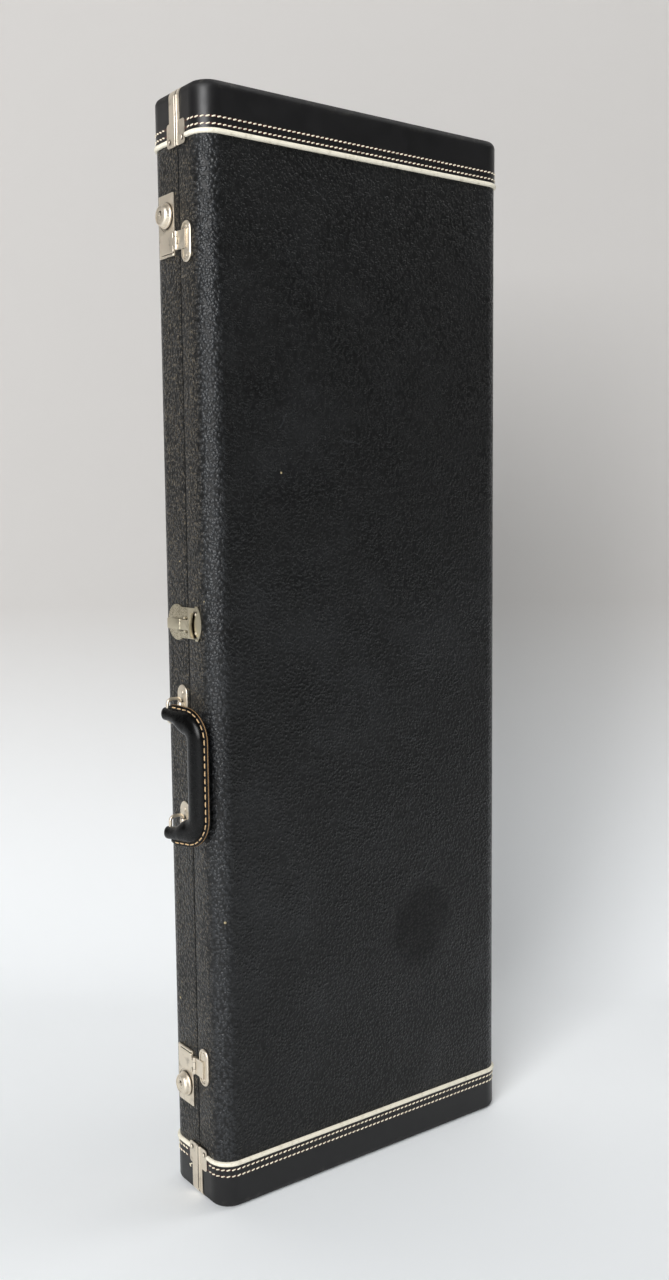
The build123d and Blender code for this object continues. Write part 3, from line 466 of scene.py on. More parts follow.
def mark(tree, place, centre, size):
    """A round mark: 1 at its centre, falling to 0 at its edge."""
    inside = node(
        tree,
        "ShaderNodeMapping",
        {"Vector": place, "Location": centre, "Scale": size},
        vector_type="TEXTURE",
    )
    reach = node(tree, "ShaderNodeVectorMath", {0: inside}, "Value", operation="LENGTH")
    return node(tree, "ShaderNodeMath", {0: 1.0, 1: reach}, operation="SUBTRACT", use_clamp=True)


def near_parting(tree, place, outer, inner):
    """1 within the inner distance of the parting line, falling to 0 at the outer one."""
    depth = node(tree, "ShaderNodeSeparateXYZ", {"Vector": place}, "Y")
    off = apart(tree, depth, PARTING)
    return node(tree, "ShaderNodeMapRange", {"Value": off, "From Min": outer, "From Max": inner})


def scratches(tree, place, sweep, width, share_shown):
    """Thin curved lines, broken up, as fingernails and buckles leave them; sweep in millimetres."""
    hills = node(tree, "ShaderNodeTexNoise", {"Vector": place, "Scale": every(sweep), "Detail": 1.0})
    off = apart(tree, hills, 0.5)
    line = node(tree, "ShaderNodeMapRange", {"Value": off, "From Min": width, "From Max": 0.0})
    shown = patches(tree, place, sweep / 3, 1 - share_shown, 1.06 - share_shown, detail=2.0)
    return node(tree, "ShaderNodeMath", {0: line, 1: shown}, operation="MULTIPLY")


def pebbled_vinyl(settings):
    """Calendered PVC on cotton, embossed by a roller: round pebbles, creases darkened by painted shade, a low
    gloss.
    """
    material, tree, shader, place = new_material("embossed_pvc_leathercloth")
    # The roller's pebbles differ in size and shape, so their cells are pushed about by noise
    wander = node(
        tree,
        "ShaderNodeTexNoise",
        {"Vector": place, "Scale": 0.5 / settings.grain, "Detail": 2.0},
        "Color",
    )
    pushed = node(
        tree,
        "ShaderNodeVectorMath",
        {0: wander, 1: (settings.grain,) * 3, 2: place},
        operation="MULTIPLY_ADD",
    )
    away = node(
        tree, "ShaderNodeTexVoronoi", {"Vector": pushed, "Scale": 1 / settings.grain}, "Distance"
    )
    pebbles = node(
        tree,
        "ShaderNodeMapRange",
        {"Value": away, "From Min": 0.8, "From Max": 0.1},
        interpolation_type="SMOOTHSTEP",
    )
    fine = node(
        tree, "ShaderNodeTexNoise", {"Vector": place, "Scale": 4 / settings.grain, "Detail": 2.0}
    )
    relief = node(tree, "ShaderNodeMath", {0: fine, 1: 0.4, 2: pebbles}, operation="MULTIPLY_ADD")
    # The boards under the vinyl are not quite flat
    waves = node(tree, "ShaderNodeTexNoise", {"Vector": place, "Scale": every(50), "Detail": 2.0})
    relief = node(tree, "ShaderNodeMath", {0: waves, 1: 1.6, 2: relief}, operation="MULTIPLY_ADD")
    bump = node(
        tree, "ShaderNodeBump", {"Strength": 1.0, "Distance": settings.depth, "Height": relief}
    )
    # Painted shade: the creases between the pebbles are coloured darker, as shade down in them
    tone = node(
        tree,
        "ShaderNodeMix",
        {0: pebbles, 6: settings.crease_shade_and_stain_tone, 7: settings.tone},
        2,
        data_type="RGBA",
    )
    # Dust lies on the narrow sides, which are carried uppermost, and the same lighter colour on the grain tops
    # there also paints in the sheen of the lamp's light on them. Its specks are really far too fine to see one by
    # one, and are drawn as coarse as they need to be to show
    across = node(tree, "ShaderNodeSeparateXYZ", {"Vector": place}, "X")
    reach = node(tree, "ShaderNodeMath", {0: across}, operation="ABSOLUTE")
    on_side = node(
        tree,
        "ShaderNodeMapRange",
        {"Value": reach, "From Min": COVERED_HALF - 2 * MM, "From Max": COVERED_HALF},
    )
    specks = patches(tree, place, 1.613, 0.5, 0.64, most=0.56, detail=2.0)
    dust_and_sheen = node(tree, "ShaderNodeMath", {0: specks, 1: on_side}, operation="MULTIPLY")
    dust_and_sheen = node(tree, "ShaderNodeMath", {0: dust_and_sheen, 1: pebbles}, operation="MULTIPLY")
    coats = [(dust_and_sheen, settings.dust_and_sheen_tone)]
    # The long rounded edges are rubbed a little, and a painted highlight lightens them as the lamp's reflection
    # would: only there do both distances from the middle add up
    deep = node(tree, "ShaderNodeSeparateXYZ", {"Vector": place}, "Y")
    deep = node(tree, "ShaderNodeMath", {0: deep}, operation="ABSOLUTE")
    both = node(tree, "ShaderNodeMath", {0: reach, 1: deep}, operation="ADD")
    rub_and_highlight = node(
        tree,
        "ShaderNodeMapRange",
        {"Value": both, "From Min": RUB_AND_HIGHLIGHT_STARTS, "From Max": RUB_AND_HIGHLIGHT_FULL, "To Max": 0.55},
        interpolation_type="SMOOTHSTEP",
    )
    rub_and_highlight = node(tree, "ShaderNodeMath", {0: rub_and_highlight, 1: pebbles}, operation="MULTIPLY")
    coats.append((rub_and_highlight, settings.worn_and_highlight_tone))
    # Rubbed patches and hairline scratches are greyer
    rubbed = patches(
        tree, place, 90.9, 0.45, 0.75, most=0.12, detail=4.0, roughness=0.6, soft=True
    )
    long_lines = scratches(tree, place, sweep=110, width=0.0016, share_shown=0.42)
    short_lines = scratches(tree, place, sweep=47, width=0.0022, share_shown=0.36)
    lines = node(tree, "ShaderNodeMath", {0: long_lines, 1: short_lines}, operation="MAXIMUM")
    lines = node(tree, "ShaderNodeMath", {0: lines, 1: 0.5, 2: rubbed}, operation="MULTIPLY_ADD")
    coats.append((lines, settings.worn_and_highlight_tone))
    # A chip shows the cloth
    for spot, radius in CHIPS:
        chip = mark(tree, place, spot, (radius,) * 3)
        chip = node(tree, "ShaderNodeMath", {0: chip, 1: 3.0}, operation="MULTIPLY", use_clamp=True)
        coats.append((chip, settings.chip_tone))
    # A round mark low on the lid is darker and duller than the vinyl about it
    edge = node(tree, "ShaderNodeTexNoise", {"Vector": place, "Scale": every(30.3), "Detail": 3.0})
    stain = mark(tree, place, STAIN_CENTRE, STAIN_SIZE)
    stain = node(tree, "ShaderNodeMath", {0: stain, 1: edge}, operation="MULTIPLY")
    stain = node(
        tree,
        "ShaderNodeMapRange",
        {"Value": stain, "From Min": 0.08, "From Max": 0.3, "To Max": 0.85},
        interpolation_type="SMOOTHSTEP",
    )
    coats.append((stain, settings.crease_shade_and_stain_tone))
    # The embossing leaves the tops smooth and the creases dull
    gloss = node(
        tree,
        "ShaderNodeMapRange",
        {
            "Value": relief,
            "From Min": 0.9,
            "From Max": 1.7,
            "To Min": 0.5,
            "To Max": settings.roughness,
        },
    )
    gloss = node(tree, "ShaderNodeMath", {0: stain, 1: 0.3, 2: gloss}, operation="MULTIPLY_ADD")
    # The vinyl's turned edge is in shade on both sides of the parting line
    shade = near_parting(tree, place, 1.0 * MM, 0.6 * MM)
    coats.append((shade, BLACK))
    gloss = node(tree, "ShaderNodeMath", {0: shade, 1: 0.6, 2: gloss}, operation="MULTIPLY_ADD")
    # Each coat covers what is under it, as far as its own pattern says
    for amount, cover in coats:
        tone = node(tree, "ShaderNodeMix", {0: amount, 6: tone, 7: cover}, 2, data_type="RGBA")
    plug(tree, shader, {"Base Color": tone, "Roughness": gloss, "Normal": bump, "IOR": 1.4})
    return material


def smooth_leather(settings):
    """Finished cowhide: fine hair pores, a waxed gloss, and brown where the edges are scuffed."""
    material, tree, shader, place = new_material("finished_cowhide")
    # Real hair pores lie closer together than this, and would not show
    pores = node(tree, "ShaderNodeTexNoise", {"Vector": place, "Scale": every(0.714), "Detail": 3.0})
    folds = node(tree, "ShaderNodeTexNoise", {"Vector": place, "Scale": every(12.5), "Detail": 3.0})
    relief = node(tree, "ShaderNodeMath", {0: folds, 1: 1.8, 2: pores}, operation="MULTIPLY_ADD")
    bump = node(
        tree, "ShaderNodeBump", {"Strength": 0.35, "Distance": 0.13 * MM, "Height": relief}
    )
    tone = node(
        tree,
        "ShaderNodeMix",
        {0: folds, 6: settings.leather_tone, 7: settings.fold_tone},
        2,
        data_type="RGBA",
    )
    # Both ends are worn alike, so the wear goes by the distance from the nearer end
    rise = node(tree, "ShaderNodeSeparateXYZ", {"Vector": place}, "Z")
    drop = node(tree, "ShaderNodeMath", {0: HEIGHT, 1: rise}, operation="SUBTRACT")
    from_end = node(tree, "ShaderNodeMath", {0: rise, 1: drop}, operation="MINIMUM")
    edge = node(tree, "ShaderNodeMapRange", {"Value": from_end, "From Min": 9 * MM, "From Max": 0.0})
    worn = patches(tree, place, 7.143, 0.5, 0.7, most=0.8, detail=5.0, roughness=0.65, soft=True)
    worn = node(tree, "ShaderNodeMath", {0: worn, 1: edge}, operation="MULTIPLY")
    coats = [(worn, settings.scuff_tone)]
    # The needle pulls a thin brown line along each row
    for row in (settings.row_near, settings.row_far):
        line = node(
            tree,
            "ShaderNodeMapRange",
            {
                "Value": apart(tree, from_end, row),
                "From Min": 1.1 * MM,
                "From Max": 0.4 * MM,
                "To Max": 0.85,
            },
        )
        coats.append((line, settings.needle_tone))
    for amount, cover in coats:
        tone = node(tree, "ShaderNodeMix", {0: amount, 6: tone, 7: cover}, 2, data_type="RGBA")
    rub = node(tree, "ShaderNodeTexNoise", {"Vector": place, "Scale": every(20), "Detail": 4.0})
    gloss = node(
        tree,
        "ShaderNodeMapRange",
        {"Value": rub, "From Min": 0.3, "From Max": 0.7, "To Min": 0.3, "To Max": 0.44},
    )
    gloss = node(tree, "ShaderNodeMath", {0: edge, 1: 0.4, 2: gloss}, operation="MULTIPLY_ADD")
    plug(tree, shader, {"Base Color": tone, "Roughness": gloss, "Normal": bump, "IOR": 1.42})
    return material


def piping_cord(settings):
    """Extruded vinyl cord: smooth and slightly waxy, with grime that dulls it in places."""
    material, tree, shader, place = new_material("extruded_vinyl_piping")
    dirt_and_shade = patches(tree, place, 6.25, 0.48, 0.76, most=0.5, detail=5.0, roughness=0.7, soft=True)
    tone = node(
        tree,
        "ShaderNodeMix",
        {0: dirt_and_shade, 6: settings.piping_tone, 7: settings.grime_and_shade_tone},
        2,
        data_type="RGBA",
    )
    plug(tree, shader, {"Base Color": tone, "Roughness": 0.45})
    return material


def darkened(tone, left):
    """A colour with only this share of its light left."""
    return [part * left for part in tone[:3]] + [1.0]


def twisted_thread(name, tone):
    """Waxed thread: matt, with the ridges of its twist and a little dirt."""
    material, tree, shader, place = new_material(name)
    twist = node(tree, "ShaderNodeTexNoise", {"Vector": place, "Scale": every(0.909), "Detail": 2.0})
    bump = node(tree, "ShaderNodeBump", {"Strength": 0.6, "Distance": 0.2 * MM, "Height": twist})
    dirt_and_shade = patches(tree, place, 4, 0.5, 0.75)
    mixed = node(
        tree, "ShaderNodeMix", {0: dirt_and_shade, 6: list(tone), 7: darkened(tone, 0.4)}, 2, data_type="RGBA"
    )
    plug(tree, shader, {"Base Color": mixed, "Normal": bump, "Roughness": 0.75})
    return material


# Centre of the claw's curved nose over the strike, in metres, the radius that its arc lies within,
# and half the height over which it curves
NOSE_CENTRE = (-0.18, -0.0349, 0.546)
NOSE_REACH = 0.022
NOSE_RISE = 0.0135


def beside_nose(tree, place):
    """1 on the strike in the crescent inside the claw's nose, where shade is painted, 0 elsewhere."""
    ring = mark(tree, place, NOSE_CENTRE, (1.0, NOSE_REACH, NOSE_REACH))
    under = node(tree, "ShaderNodeMapRange", {"Value": ring, "From Min": 0.0, "From Max": 0.05})
    within = node(tree, "ShaderNodeMapRange", {"Value": ring, "From Min": 0.31, "From Max": 0.22})
    along = mark(tree, place, NOSE_CENTRE, (1.0, 1.0, NOSE_RISE))
    along = node(tree, "ShaderNodeMath", {0: along, 1: 6.0}, operation="MULTIPLY", use_clamp=True)
    crescent = node(tree, "ShaderNodeMath", {0: under, 1: within}, operation="MULTIPLY")
    return node(tree, "ShaderNodeMath", {0: crescent, 1: along}, operation="MULTIPLY")


def nickel(name, settings, plating, stippled=False, parted=False, hooked=False, shade_reach=3.2):
    """Nickel plate on steel: a warm metal, hazed by handling, with painted shade darkening it where parts meet."""
    material, tree, shader, place = new_material(name)
    haze = node(tree, "ShaderNodeTexNoise", {"Vector": place, "Scale": every(4), "Detail": 4.0})
    spots = patches(
        tree, place, 11.11, 0.52, 0.8, most=0.55, detail=5.0, roughness=0.65, soft=True
    )
    relief, strength = haze, 0.15
    if stippled:
        # The latch's plate was struck with a punch of small round points, drawn here as coarse as
        # they need to be to show
        pits = node(
            tree, "ShaderNodeTexVoronoi", {"Vector": place, "Scale": every(1.613)}, "Distance"
        )
        relief = node(tree, "ShaderNodeMapRange", {"Value": pits, "From Min": 0.1, "From Max": 0.5})
        in_pits = node(
            tree,
            "ShaderNodeMapRange",
            {"Value": pits, "From Min": 0.5, "From Max": 0.2, "To Max": 0.7},
        )
        spots = node(tree, "ShaderNodeMath", {0: spots, 1: in_pits}, operation="MAXIMUM")
        strength = 0.9
    tone = node(
        tree, "ShaderNodeMix", {0: spots, 6: plating, 7: settings.tarnish_tone}, 2, data_type="RGBA"
    )
    # Painted shade: the colour darkens where ambient occlusion finds other surfaces near
    open_air = node(
        tree, "ShaderNodeAmbientOcclusion", {"Distance": shade_reach * MM}, "AO", samples=8
    )
    painted_shades = [node(tree, "ShaderNodeMapRange", {"Value": open_air, "From Min": 0.8, "From Max": 0.3})]
    if parted:
        # Painted shade darkens the joint between the lid's strip and the base's
        painted_shades.append(near_parting(tree, place, 1.1 * MM, 0.3 * MM))
    # Painted shadow in the crescent beside the claw's nose
    if hooked:
        painted_shades.append(beside_nose(tree, place))
    for dirt_and_shade in painted_shades:
        tone = node(
            tree, "ShaderNodeMix", {0: dirt_and_shade, 6: tone, 7: settings.grime_and_shade_tone}, 2, data_type="RGBA"
        )
    bump = node(
        tree, "ShaderNodeBump", {"Strength": strength, "Distance": 0.15 * MM, "Height": relief}
    )
    gloss = node(
        tree,
        "ShaderNodeMapRange",
        {
            "Value": haze,
            "From Min": 0.25,
            "From Max": 0.75,
            "To Min": settings.roughness - 0.08,
            "To Max": settings.roughness + 0.1,
        },
    )
    plug(tree, shader, {"Base Color": tone, "Roughness": gloss, "Normal": bump, "Metallic": 1.0})
    return material


def glazed_leather(settings):
    """Glazed cowhide rolled over a cord core: glossy black, rubbed grey in patches."""
    material, tree, shader, place = new_material("glazed_cowhide")
    # Real hair pores lie closer together than this, and would not show
    pores = node(tree, "ShaderNodeTexNoise", {"Vector": place, "Scale": every(0.667), "Detail": 3.0})
    creases = node(tree, "ShaderNodeTexNoise", {"Vector": place, "Scale": every(5), "Detail": 3.0})
    relief = node(tree, "ShaderNodeMath", {0: creases, 1: 1.2, 2: pores}, operation="MULTIPLY_ADD")
    bump = node(tree, "ShaderNodeBump", {"Strength": 0.3, "Distance": 0.1 * MM, "Height": relief})
    rub = patches(tree, place, 18.18, 0.5, 0.75, most=0.2, detail=4.0)
    tone = node(
        tree,
        "ShaderNodeMix",
        {0: rub, 6: settings.tone, 7: settings.rubbed_tone},
        2,
        data_type="RGBA",
    )
    gloss = node(
        tree,
        "ShaderNodeMapRange",
        {"Value": creases, "From Min": 0.3, "From Max": 0.7, "To Min": 0.22, "To Max": 0.32},
    )
    plug(tree, shader, {"Base Color": tone, "Roughness": gloss, "Normal": bump})
    shader.inputs["Specular IOR Level"].default_value = 0.2
    return material


def cut_leather(settings):
    """Cut edge of tan leather: loose fibres, seen as a thin line between the two black layers."""
    material, tree, shader, place = new_material("cut_leather_edge")
    fibres = node(
        tree,
        "ShaderNodeTexNoise",
        {"Vector": place, "Scale": every(2.5), "Detail": 4.0, "Roughness": 0.7},
    )
    tone = node(
        tree,
        "ShaderNodeMix",
        {0: fibres, 6: darkened(settings.edge_tone, 0.3), 7: list(settings.edge_tone)},
        2,
        data_type="RGBA",
    )
    plug(tree, shader, {"Base Color": tone, "Roughness": 0.75})
    return material


def plush(settings):
    """Short acrylic plush: no gloss, a soft light along its edges, and painted shade down in the pile and where
    tufts lie different ways.
    """
    material, tree, shader, place = new_material("acrylic_plush")
    tufts = node(
        tree,
        "ShaderNodeTexNoise",
        {"Vector": place, "Scale": 1 / settings.tuft, "Detail": 4.0, "Roughness": 0.7},
    )
    depth = node(
        tree,
        "ShaderNodeMapRange",
        {"Value": tufts, "From Min": 0.3, "From Max": 0.7},
        interpolation_type="SMOOTHSTEP",
    )
    # Painted shade: the colour darkens down in the pile
    tone = node(
        tree,
        "ShaderNodeMix",
        {0: depth, 6: settings.pile_shade_tone, 7: settings.tone},
        2,
        data_type="RGBA",
    )
    # Painted shade: patches where the tufts lie another way are darker
    lie_shade = patches(tree, place, 20, 0.4, 0.7, most=0.3)
    tone = node(tree, "ShaderNodeMix", {0: lie_shade, 6: tone, 7: settings.pile_shade_tone}, 2, data_type="RGBA")
    bump = node(tree, "ShaderNodeBump", {"Strength": 0.8, "Distance": 0.8 * MM, "Height": tufts})
    plug(tree, shader, {"Base Color": tone, "Normal": bump, "Roughness": 0.95})
    sheen = {"Sheen Weight": 0.3, "Sheen Roughness": 0.4, "Sheen Tint": settings.sheen_tone}
    plug(tree, shader, sheen)
    return material


def plywood(settings):
    """Rotary-cut birch plywood: long figure in the face veneer, bare and dry."""
    material, tree, shader, place = new_material("birch_plywood")
    along = node(tree, "ShaderNodeMapping", {"Vector": place, "Scale": (1.0, 1.0, 0.08)})
    figure = node(
        tree,
        "ShaderNodeTexNoise",
        {"Vector": along, "Scale": every(9.09), "Detail": 5.0, "Roughness": 0.65},
    )
    rings = node(
        tree,
        "ShaderNodeMapRange",
        {"Value": figure, "From Min": 0.4, "From Max": 0.7},
        interpolation_type="SMOOTHSTEP",
    )
    tone = node(
        tree,
        "ShaderNodeMix",
        {0: rings, 6: settings.wood_tone, 7: settings.wood_dark_tone},
        2,
        data_type="RGBA",
    )
    bump = node(tree, "ShaderNodeBump", {"Strength": 0.2, "Distance": 0.1 * MM, "Height": figure})
    plug(tree, shader, {"Base Color": tone, "Normal": bump, "Roughness": 0.7})
    return material


def backdrop_paper(name, settings, one_sided):
    """Matt background paper, coloured lighter on the floor and darker as it rises as painted light. The sweep
    shows only its front, so that the case is seen from behind.
    """
    material, tree, shader, place = new_material(name)
    rise = node(tree, "ShaderNodeSeparateXYZ", {"Vector": place}, "Z")
    # Painted light: the paper is coloured lighter on the floor and darker as it rises, as light falls more on the
    # floor
    height = node(tree, "ShaderNodeMapRange", {"Value": rise, "From Max": 0.5})
    tone = node(
        tree,
        "ShaderNodeMix",
        {0: height, 6: settings.lit_floor_tone, 7: settings.shaded_wall_tone},
        2,
        data_type="RGBA",
    )
    plug(tree, shader, {"Base Color": tone, "Roughness": 0.95, "Specular IOR Level": 0.1})
    if one_sided:
        back = node(tree, "ShaderNodeNewGeometry", {}, "Backfacing")
        clear = node(tree, "ShaderNodeBsdfTransparent", {})
        shown = node(tree, "ShaderNodeMixShader", {0: back, 1: shader.outputs[0], 2: clear})
        plug(tree, next(n for n in tree.nodes if n.type == "OUTPUT_MATERIAL"), {"Surface": shown})
    return material


# Shapes


def make_stitch(span, thick):
    """One stitch along X: a thread that comes up out of its hole, lies flat and dives again."""
    half = thick / 2
    bpy.ops.mesh.primitive_circle_add(
        vertices=8,
        radius=half * 0.5,
        fill_type="NGON",
        location=(-0.5 * span, 0, -0.75 * half),
        rotation=(0, math.pi / 2, 0),
    )
    stitch = bpy.context.object
    apply_place(stitch)
    edit(stitch)
    stations = (
        ((-0.42 * span, 0, -0.1 * half), 1.7, 1.7),
        ((-0.2 * span, 0, 0.1 * half), 2.0, 2.0),
        ((0.2 * span, 0, 0.1 * half), 2.0, 2.0),
        ((0.42 * span, 0, -0.1 * half), 1.7, 1.7),
        ((0.5 * span, 0, -0.75 * half), 1.0, 1.0),
    )
    pull(Vector((-0.5 * span, 0, -0.75 * half)), stations, axes=(0, 1, 2))
    deselect()
    face_outwards(stitch)
    return stitch


def make_rivet(radius, height):
    """A domed rivet head on the floor, its axis along Z."""
    bpy.ops.mesh.primitive_circle_add(vertices=14, radius=radius, fill_type="NGON")
    rivet = bpy.context.object
    edit(rivet)
    stations = (
        ((0, 0, 0.35 * height), 0.98, 0.98),
        ((0, 0, 0.75 * height), 0.8, 0.8),
        ((0, 0, height), 0.45, 0.45),
    )
    pull(Vector((0, 0, 0)), stations, axes=(1, 2, 0))
    deselect()
    face_outwards(rivet)
    return rivet


def round_outline(half_width, half_depth, radius, start, side, pitch):
    """Places along one half's outline, from one narrow side round the wide face to the other."""
    short = half_depth - radius - start
    arc = radius * math.pi / 2
    wide = 2 * (half_width - radius)
    total = 2 * short + 2 * arc + wide
    count = int(total / pitch)
    first = (total - (count - 1) * pitch) / 2
    for index in range(count):
        along = first + index * pitch
        if along < short:
            x, y, turn = -half_width, start + along, 90.0
        elif along < short + arc:
            angle = (along - short) / radius
            x = -half_width + radius - radius * math.cos(angle)
            y = half_depth - radius + radius * math.sin(angle)
            turn = 90.0 - math.degrees(angle)
        elif along < short + arc + wide:
            x, y, turn = -half_width + radius + along - short - arc, half_depth, 0.0
        elif along < short + 2 * arc + wide:
            angle = (along - short - arc - wide) / radius
            x = half_width - radius + radius * math.sin(angle)
            y = half_depth - radius + radius * math.cos(angle)
            turn = -math.degrees(angle)
        else:
            x, y, turn = half_width, half_depth - radius - (along - short - 2 * arc - wide), -90.0
        yield x, y * side, math.radians(turn * side)


def handle_frame(settings):
    """Place of the handle: X up the case, Y away from the bails, Z towards the case."""
    up = Vector((0, 0, 1))
    away = Vector((math.sin(settings.lean), -math.cos(settings.lean), 0))
    turned = Matrix((up, away, up.cross(away))).transposed().to_4x4()
    return Matrix.Translation(PIVOTS["handle_hinge"] - up * settings.sag) @ turned


def sweep_handle(piece, settings, reach, arm):
    """Draw a profile, open and standing in the plane X = 0, round half of the handle and mirror it.

    reach is the distance of the profile's middle outside the roll's middle line.
    """
    edit(piece)
    bpy.ops.transform.translate(value=(0, settings.depth, 0))
    for _ in range(3):
        draw_out((settings.straight / 3, 0, 0))
    corner = (settings.straight, settings.depth - settings.bend, 0)
    bpy.ops.mesh.spin(steps=10, angle=math.pi / 2, center=corner, axis=(0, 0, 1))
    start = Vector(corner) + Vector((settings.bend + reach, 0, 0))
    pull(start, arm, axes=(1, 0, 2))
    bpy.ops.mesh.edge_face_add()
    if not reach:
        bpy.ops.mesh.inset(thickness=0.5 * MM)
    deselect()
    finish_with(piece, "MIRROR", use_axis=(True, False, False), use_clip=True, merge_threshold=0.01 * MM)
    face_outwards(piece)


# Distance from the bails at which the handle's stitches start, and how far its arms spread for
# each millimetre towards the bails
STITCH_FOOT = 7 * MM
ARM_SPREAD = 0.06


def handle_row(settings, reach):
    """Places and turns along the handle's sewn edge, from one arm's end to the other's."""
    radius = settings.bend + reach
    arm = settings.depth - settings.bend - STITCH_FOOT
    arc = radius * math.pi / 2
    total = 2 * (arm + arc + settings.straight)
    count = int(total / settings.pitch)
    first = (total - (count - 1) * settings.pitch) / 2
    for index in range(count):
        along = first + index * settings.pitch
        side = -1
        if along > total / 2:
            along, side = total - along, 1
        if along < arm:
            x = settings.straight + radius + ARM_SPREAD * (arm - along)
            y = STITCH_FOOT + along
            turn = math.pi / 2
        elif along < arm + arc:
            angle = (along - arm) / radius
            x = settings.straight + radius * math.cos(angle)
            y = settings.depth - settings.bend + radius * math.sin(angle)
            turn = math.pi / 2 + angle
        else:
            x, y, turn = settings.straight - (along - arm - arc), settings.depth + reach, 0.0
        yield side * x, y, side * turn


# Steps


class CASE_OT_covering(bpy.types.Operator):
    """Give both halves their grained vinyl, rolled over at the parting line"""

    bl_idname = "case.covering"
    bl_label = "Covering"

    # How close to the parting line and to the outside a vertex of the turned edge lies
    touching = 0.02 * MM

    def execute(self, context):
        settings = context.scene.hard_case.covering
        vinyl = pebbled_vinyl(settings)
        for half, side in HALVES:
            part = f"{half}_covering"
            low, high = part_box(part)
            rim = low.y if side > 0 else high.y
            piece = copy_of(part)
            edit(piece)
            pick(piece, lambda co: self.is_edge(co, rim))
            bpy.ops.mesh.bevel(offset=settings.rim_round, segments=3)
            deselect()
            settle(piece, f"{half}_vinyl", vinyl, half, smooth=35)
            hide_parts(part)
        return {"FINISHED"}

    def is_edge(self, co, rim):
        """Whether a vertex is on the outer edge of the covering's rim."""
        return abs(co.y - rim) < self.touching and COVERED_HALF - abs(co.x) < self.touching


class CASE_OT_ends(bpy.types.Operator):
    """Give the ends their leather and piping, and sew the two rows of stitches"""

    bl_idname = "case.ends"
    bl_label = "Leather ends"

    corner = 19.8 * MM
    # Two bits of loose thread: place in depth and in height, in millimetres, and turn in degrees
    loose_end = ((9.2, 25.5, 35), (11.4, 23.2, -50))

    def execute(self, context):
        settings = context.scene.hard_case.ends
        leather = smooth_leather(settings)
        cord = piping_cord(settings)
        cotton = twisted_thread("waxed_cotton_thread", settings.thread_tone)
        for half, side in HALVES:
            for end in ENDS:
                dress(f"{half}_{end}_leather", leather)
                piping = copy_of(f"{half}_{end}_piping")
                round_edges(piping, 0.8 * MM, segments=3, degrees=30)
                settle(piping, f"{half}_{end}_cord", cord, half, smooth=60)
                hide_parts(f"{half}_{end}_piping")
                stitch = make_stitch(settings.stitch, settings.thread)
                rows = repeat(stitch, self.places(settings, half, side, end))
                settle(rows, f"{half}_{end}_stitching", cotton, half, smooth=60)
        return {"FINISHED"}

    def places(self, settings, half, side, end):
        """Matrices of the stitches of one end of one half."""
        depth = abs(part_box("lid_lower_leather")[0].y)
        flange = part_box(f"{half}_lower_strip")[1 if side > 0 else 0].y
        start = abs(flange) + settings.pitch / 2
        lift = Matrix.Rotation(math.radians(-90 * side), 4, "X")
        slant = Matrix.Rotation(-settings.slant * side, 4, "Z")
        for row in (settings.row_near, settings.row_far):
            z = row if end == "lower" else HEIGHT - row
            outline = round_outline(LEATHER_HALF, depth, self.corner, start, side, settings.pitch)
            for x, y, turn in outline:
                yield Matrix.Translation((x, y, z)) @ Matrix.Rotation(turn, 4, "Z") @ lift @ slant
        if (half, end) == ("base", "lower"):
            # A cut end of thread hangs out beside the lower strip
            for y, z, angle in self.loose_end:
                spot = Matrix.Translation((-LEATHER_HALF, y * MM, z * MM))
                turned = Matrix.Rotation(math.radians(90), 4, "Z") @ lift
                yield spot @ turned @ Matrix.Rotation(math.radians(angle), 4, "Z")


class CASE_OT_metalwork(bpy.types.Operator):
    """Roll the edges of the stampings and plate them"""

    bl_idname = "case.metalwork"
    bl_label = "Metalwork"

    lock_parts = ("lock_plate", "lock_knob", "key_plug", "hasp", "hasp_plate", "handle_lug")
    stampings = ("centre_latch_plate", "centre_lever", "centre_claw", "centre_strike")
    leaves = ("hinge_base_leaves", "hinge_lid_leaves")
    pins = ("hasp_pins", "lever_pin", "claw_pin", "hinge_pins")
    # The keyhole's mouth: how deep it is flared, the rim of the plug that is left alone, and how
    # much wider and higher the flare makes it
    mouth_depth = 0.6 * MM
    mouth_rim = 0.2 * MM
    mouth_flare = (1, 1.9, 1.02)

    def execute(self, context):
        settings = context.scene.hard_case.metal
        plated = nickel("nickel_plate", settings, settings.tone)
        worn = nickel("nickel_plate_worn", settings, settings.latch_tone, shade_reach=5.0)
        stippled = nickel("stippled_nickel_plate", settings, settings.latch_tone, stippled=True)
        strike = nickel("nickel_plated_strike", settings, settings.latch_tone, hooked=True)
        finishes = {
            "centre_latch_plate": stippled,
            "centre_lever": worn,
            "centre_claw": worn,
            "centre_strike": strike,
        }
        strips = [f"{half}_{end}_strip" for half, _ in HALVES for end in ENDS]
        strip = nickel("nickel_plated_strip", settings, settings.tone, parted=True)
        finishes.update(dict.fromkeys(strips, strip))
        lock_parts = [f"{end}_{part}" for end in ENDS for part in self.lock_parts]
        for part in (*strips, *lock_parts, *self.stampings, *self.leaves):
            piece = copy_of(part)
            if part.endswith("key_plug"):
                self.widen_keyhole(piece, part)
            round_edges(piece, settings.edge, segments=2, degrees=32)
            finish = finishes.get(part, plated)
            settle(piece, f"{part}_plated", finish, BODY_OF[part], smooth=32)
            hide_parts(part)
        for part in self.pins:
            dress(part, plated)
        return {"FINISHED"}

    def widen_keyhole(self, piece, part):
        """Flare the keyhole's mouth, as years of keys have done."""
        low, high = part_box(part)
        mouth = Vector((low.x, (low.y + high.y) / 2, (low.z + high.z) / 2))
        rim = (high.y - low.y) / 2 - self.mouth_rim
        edit(piece)
        pick(
            piece,
            lambda co: co.x - mouth.x < self.mouth_depth and (co.yz - mouth.yz).length < rim,
        )
        bpy.ops.transform.resize(value=self.mouth_flare, center_override=mouth)
        deselect()


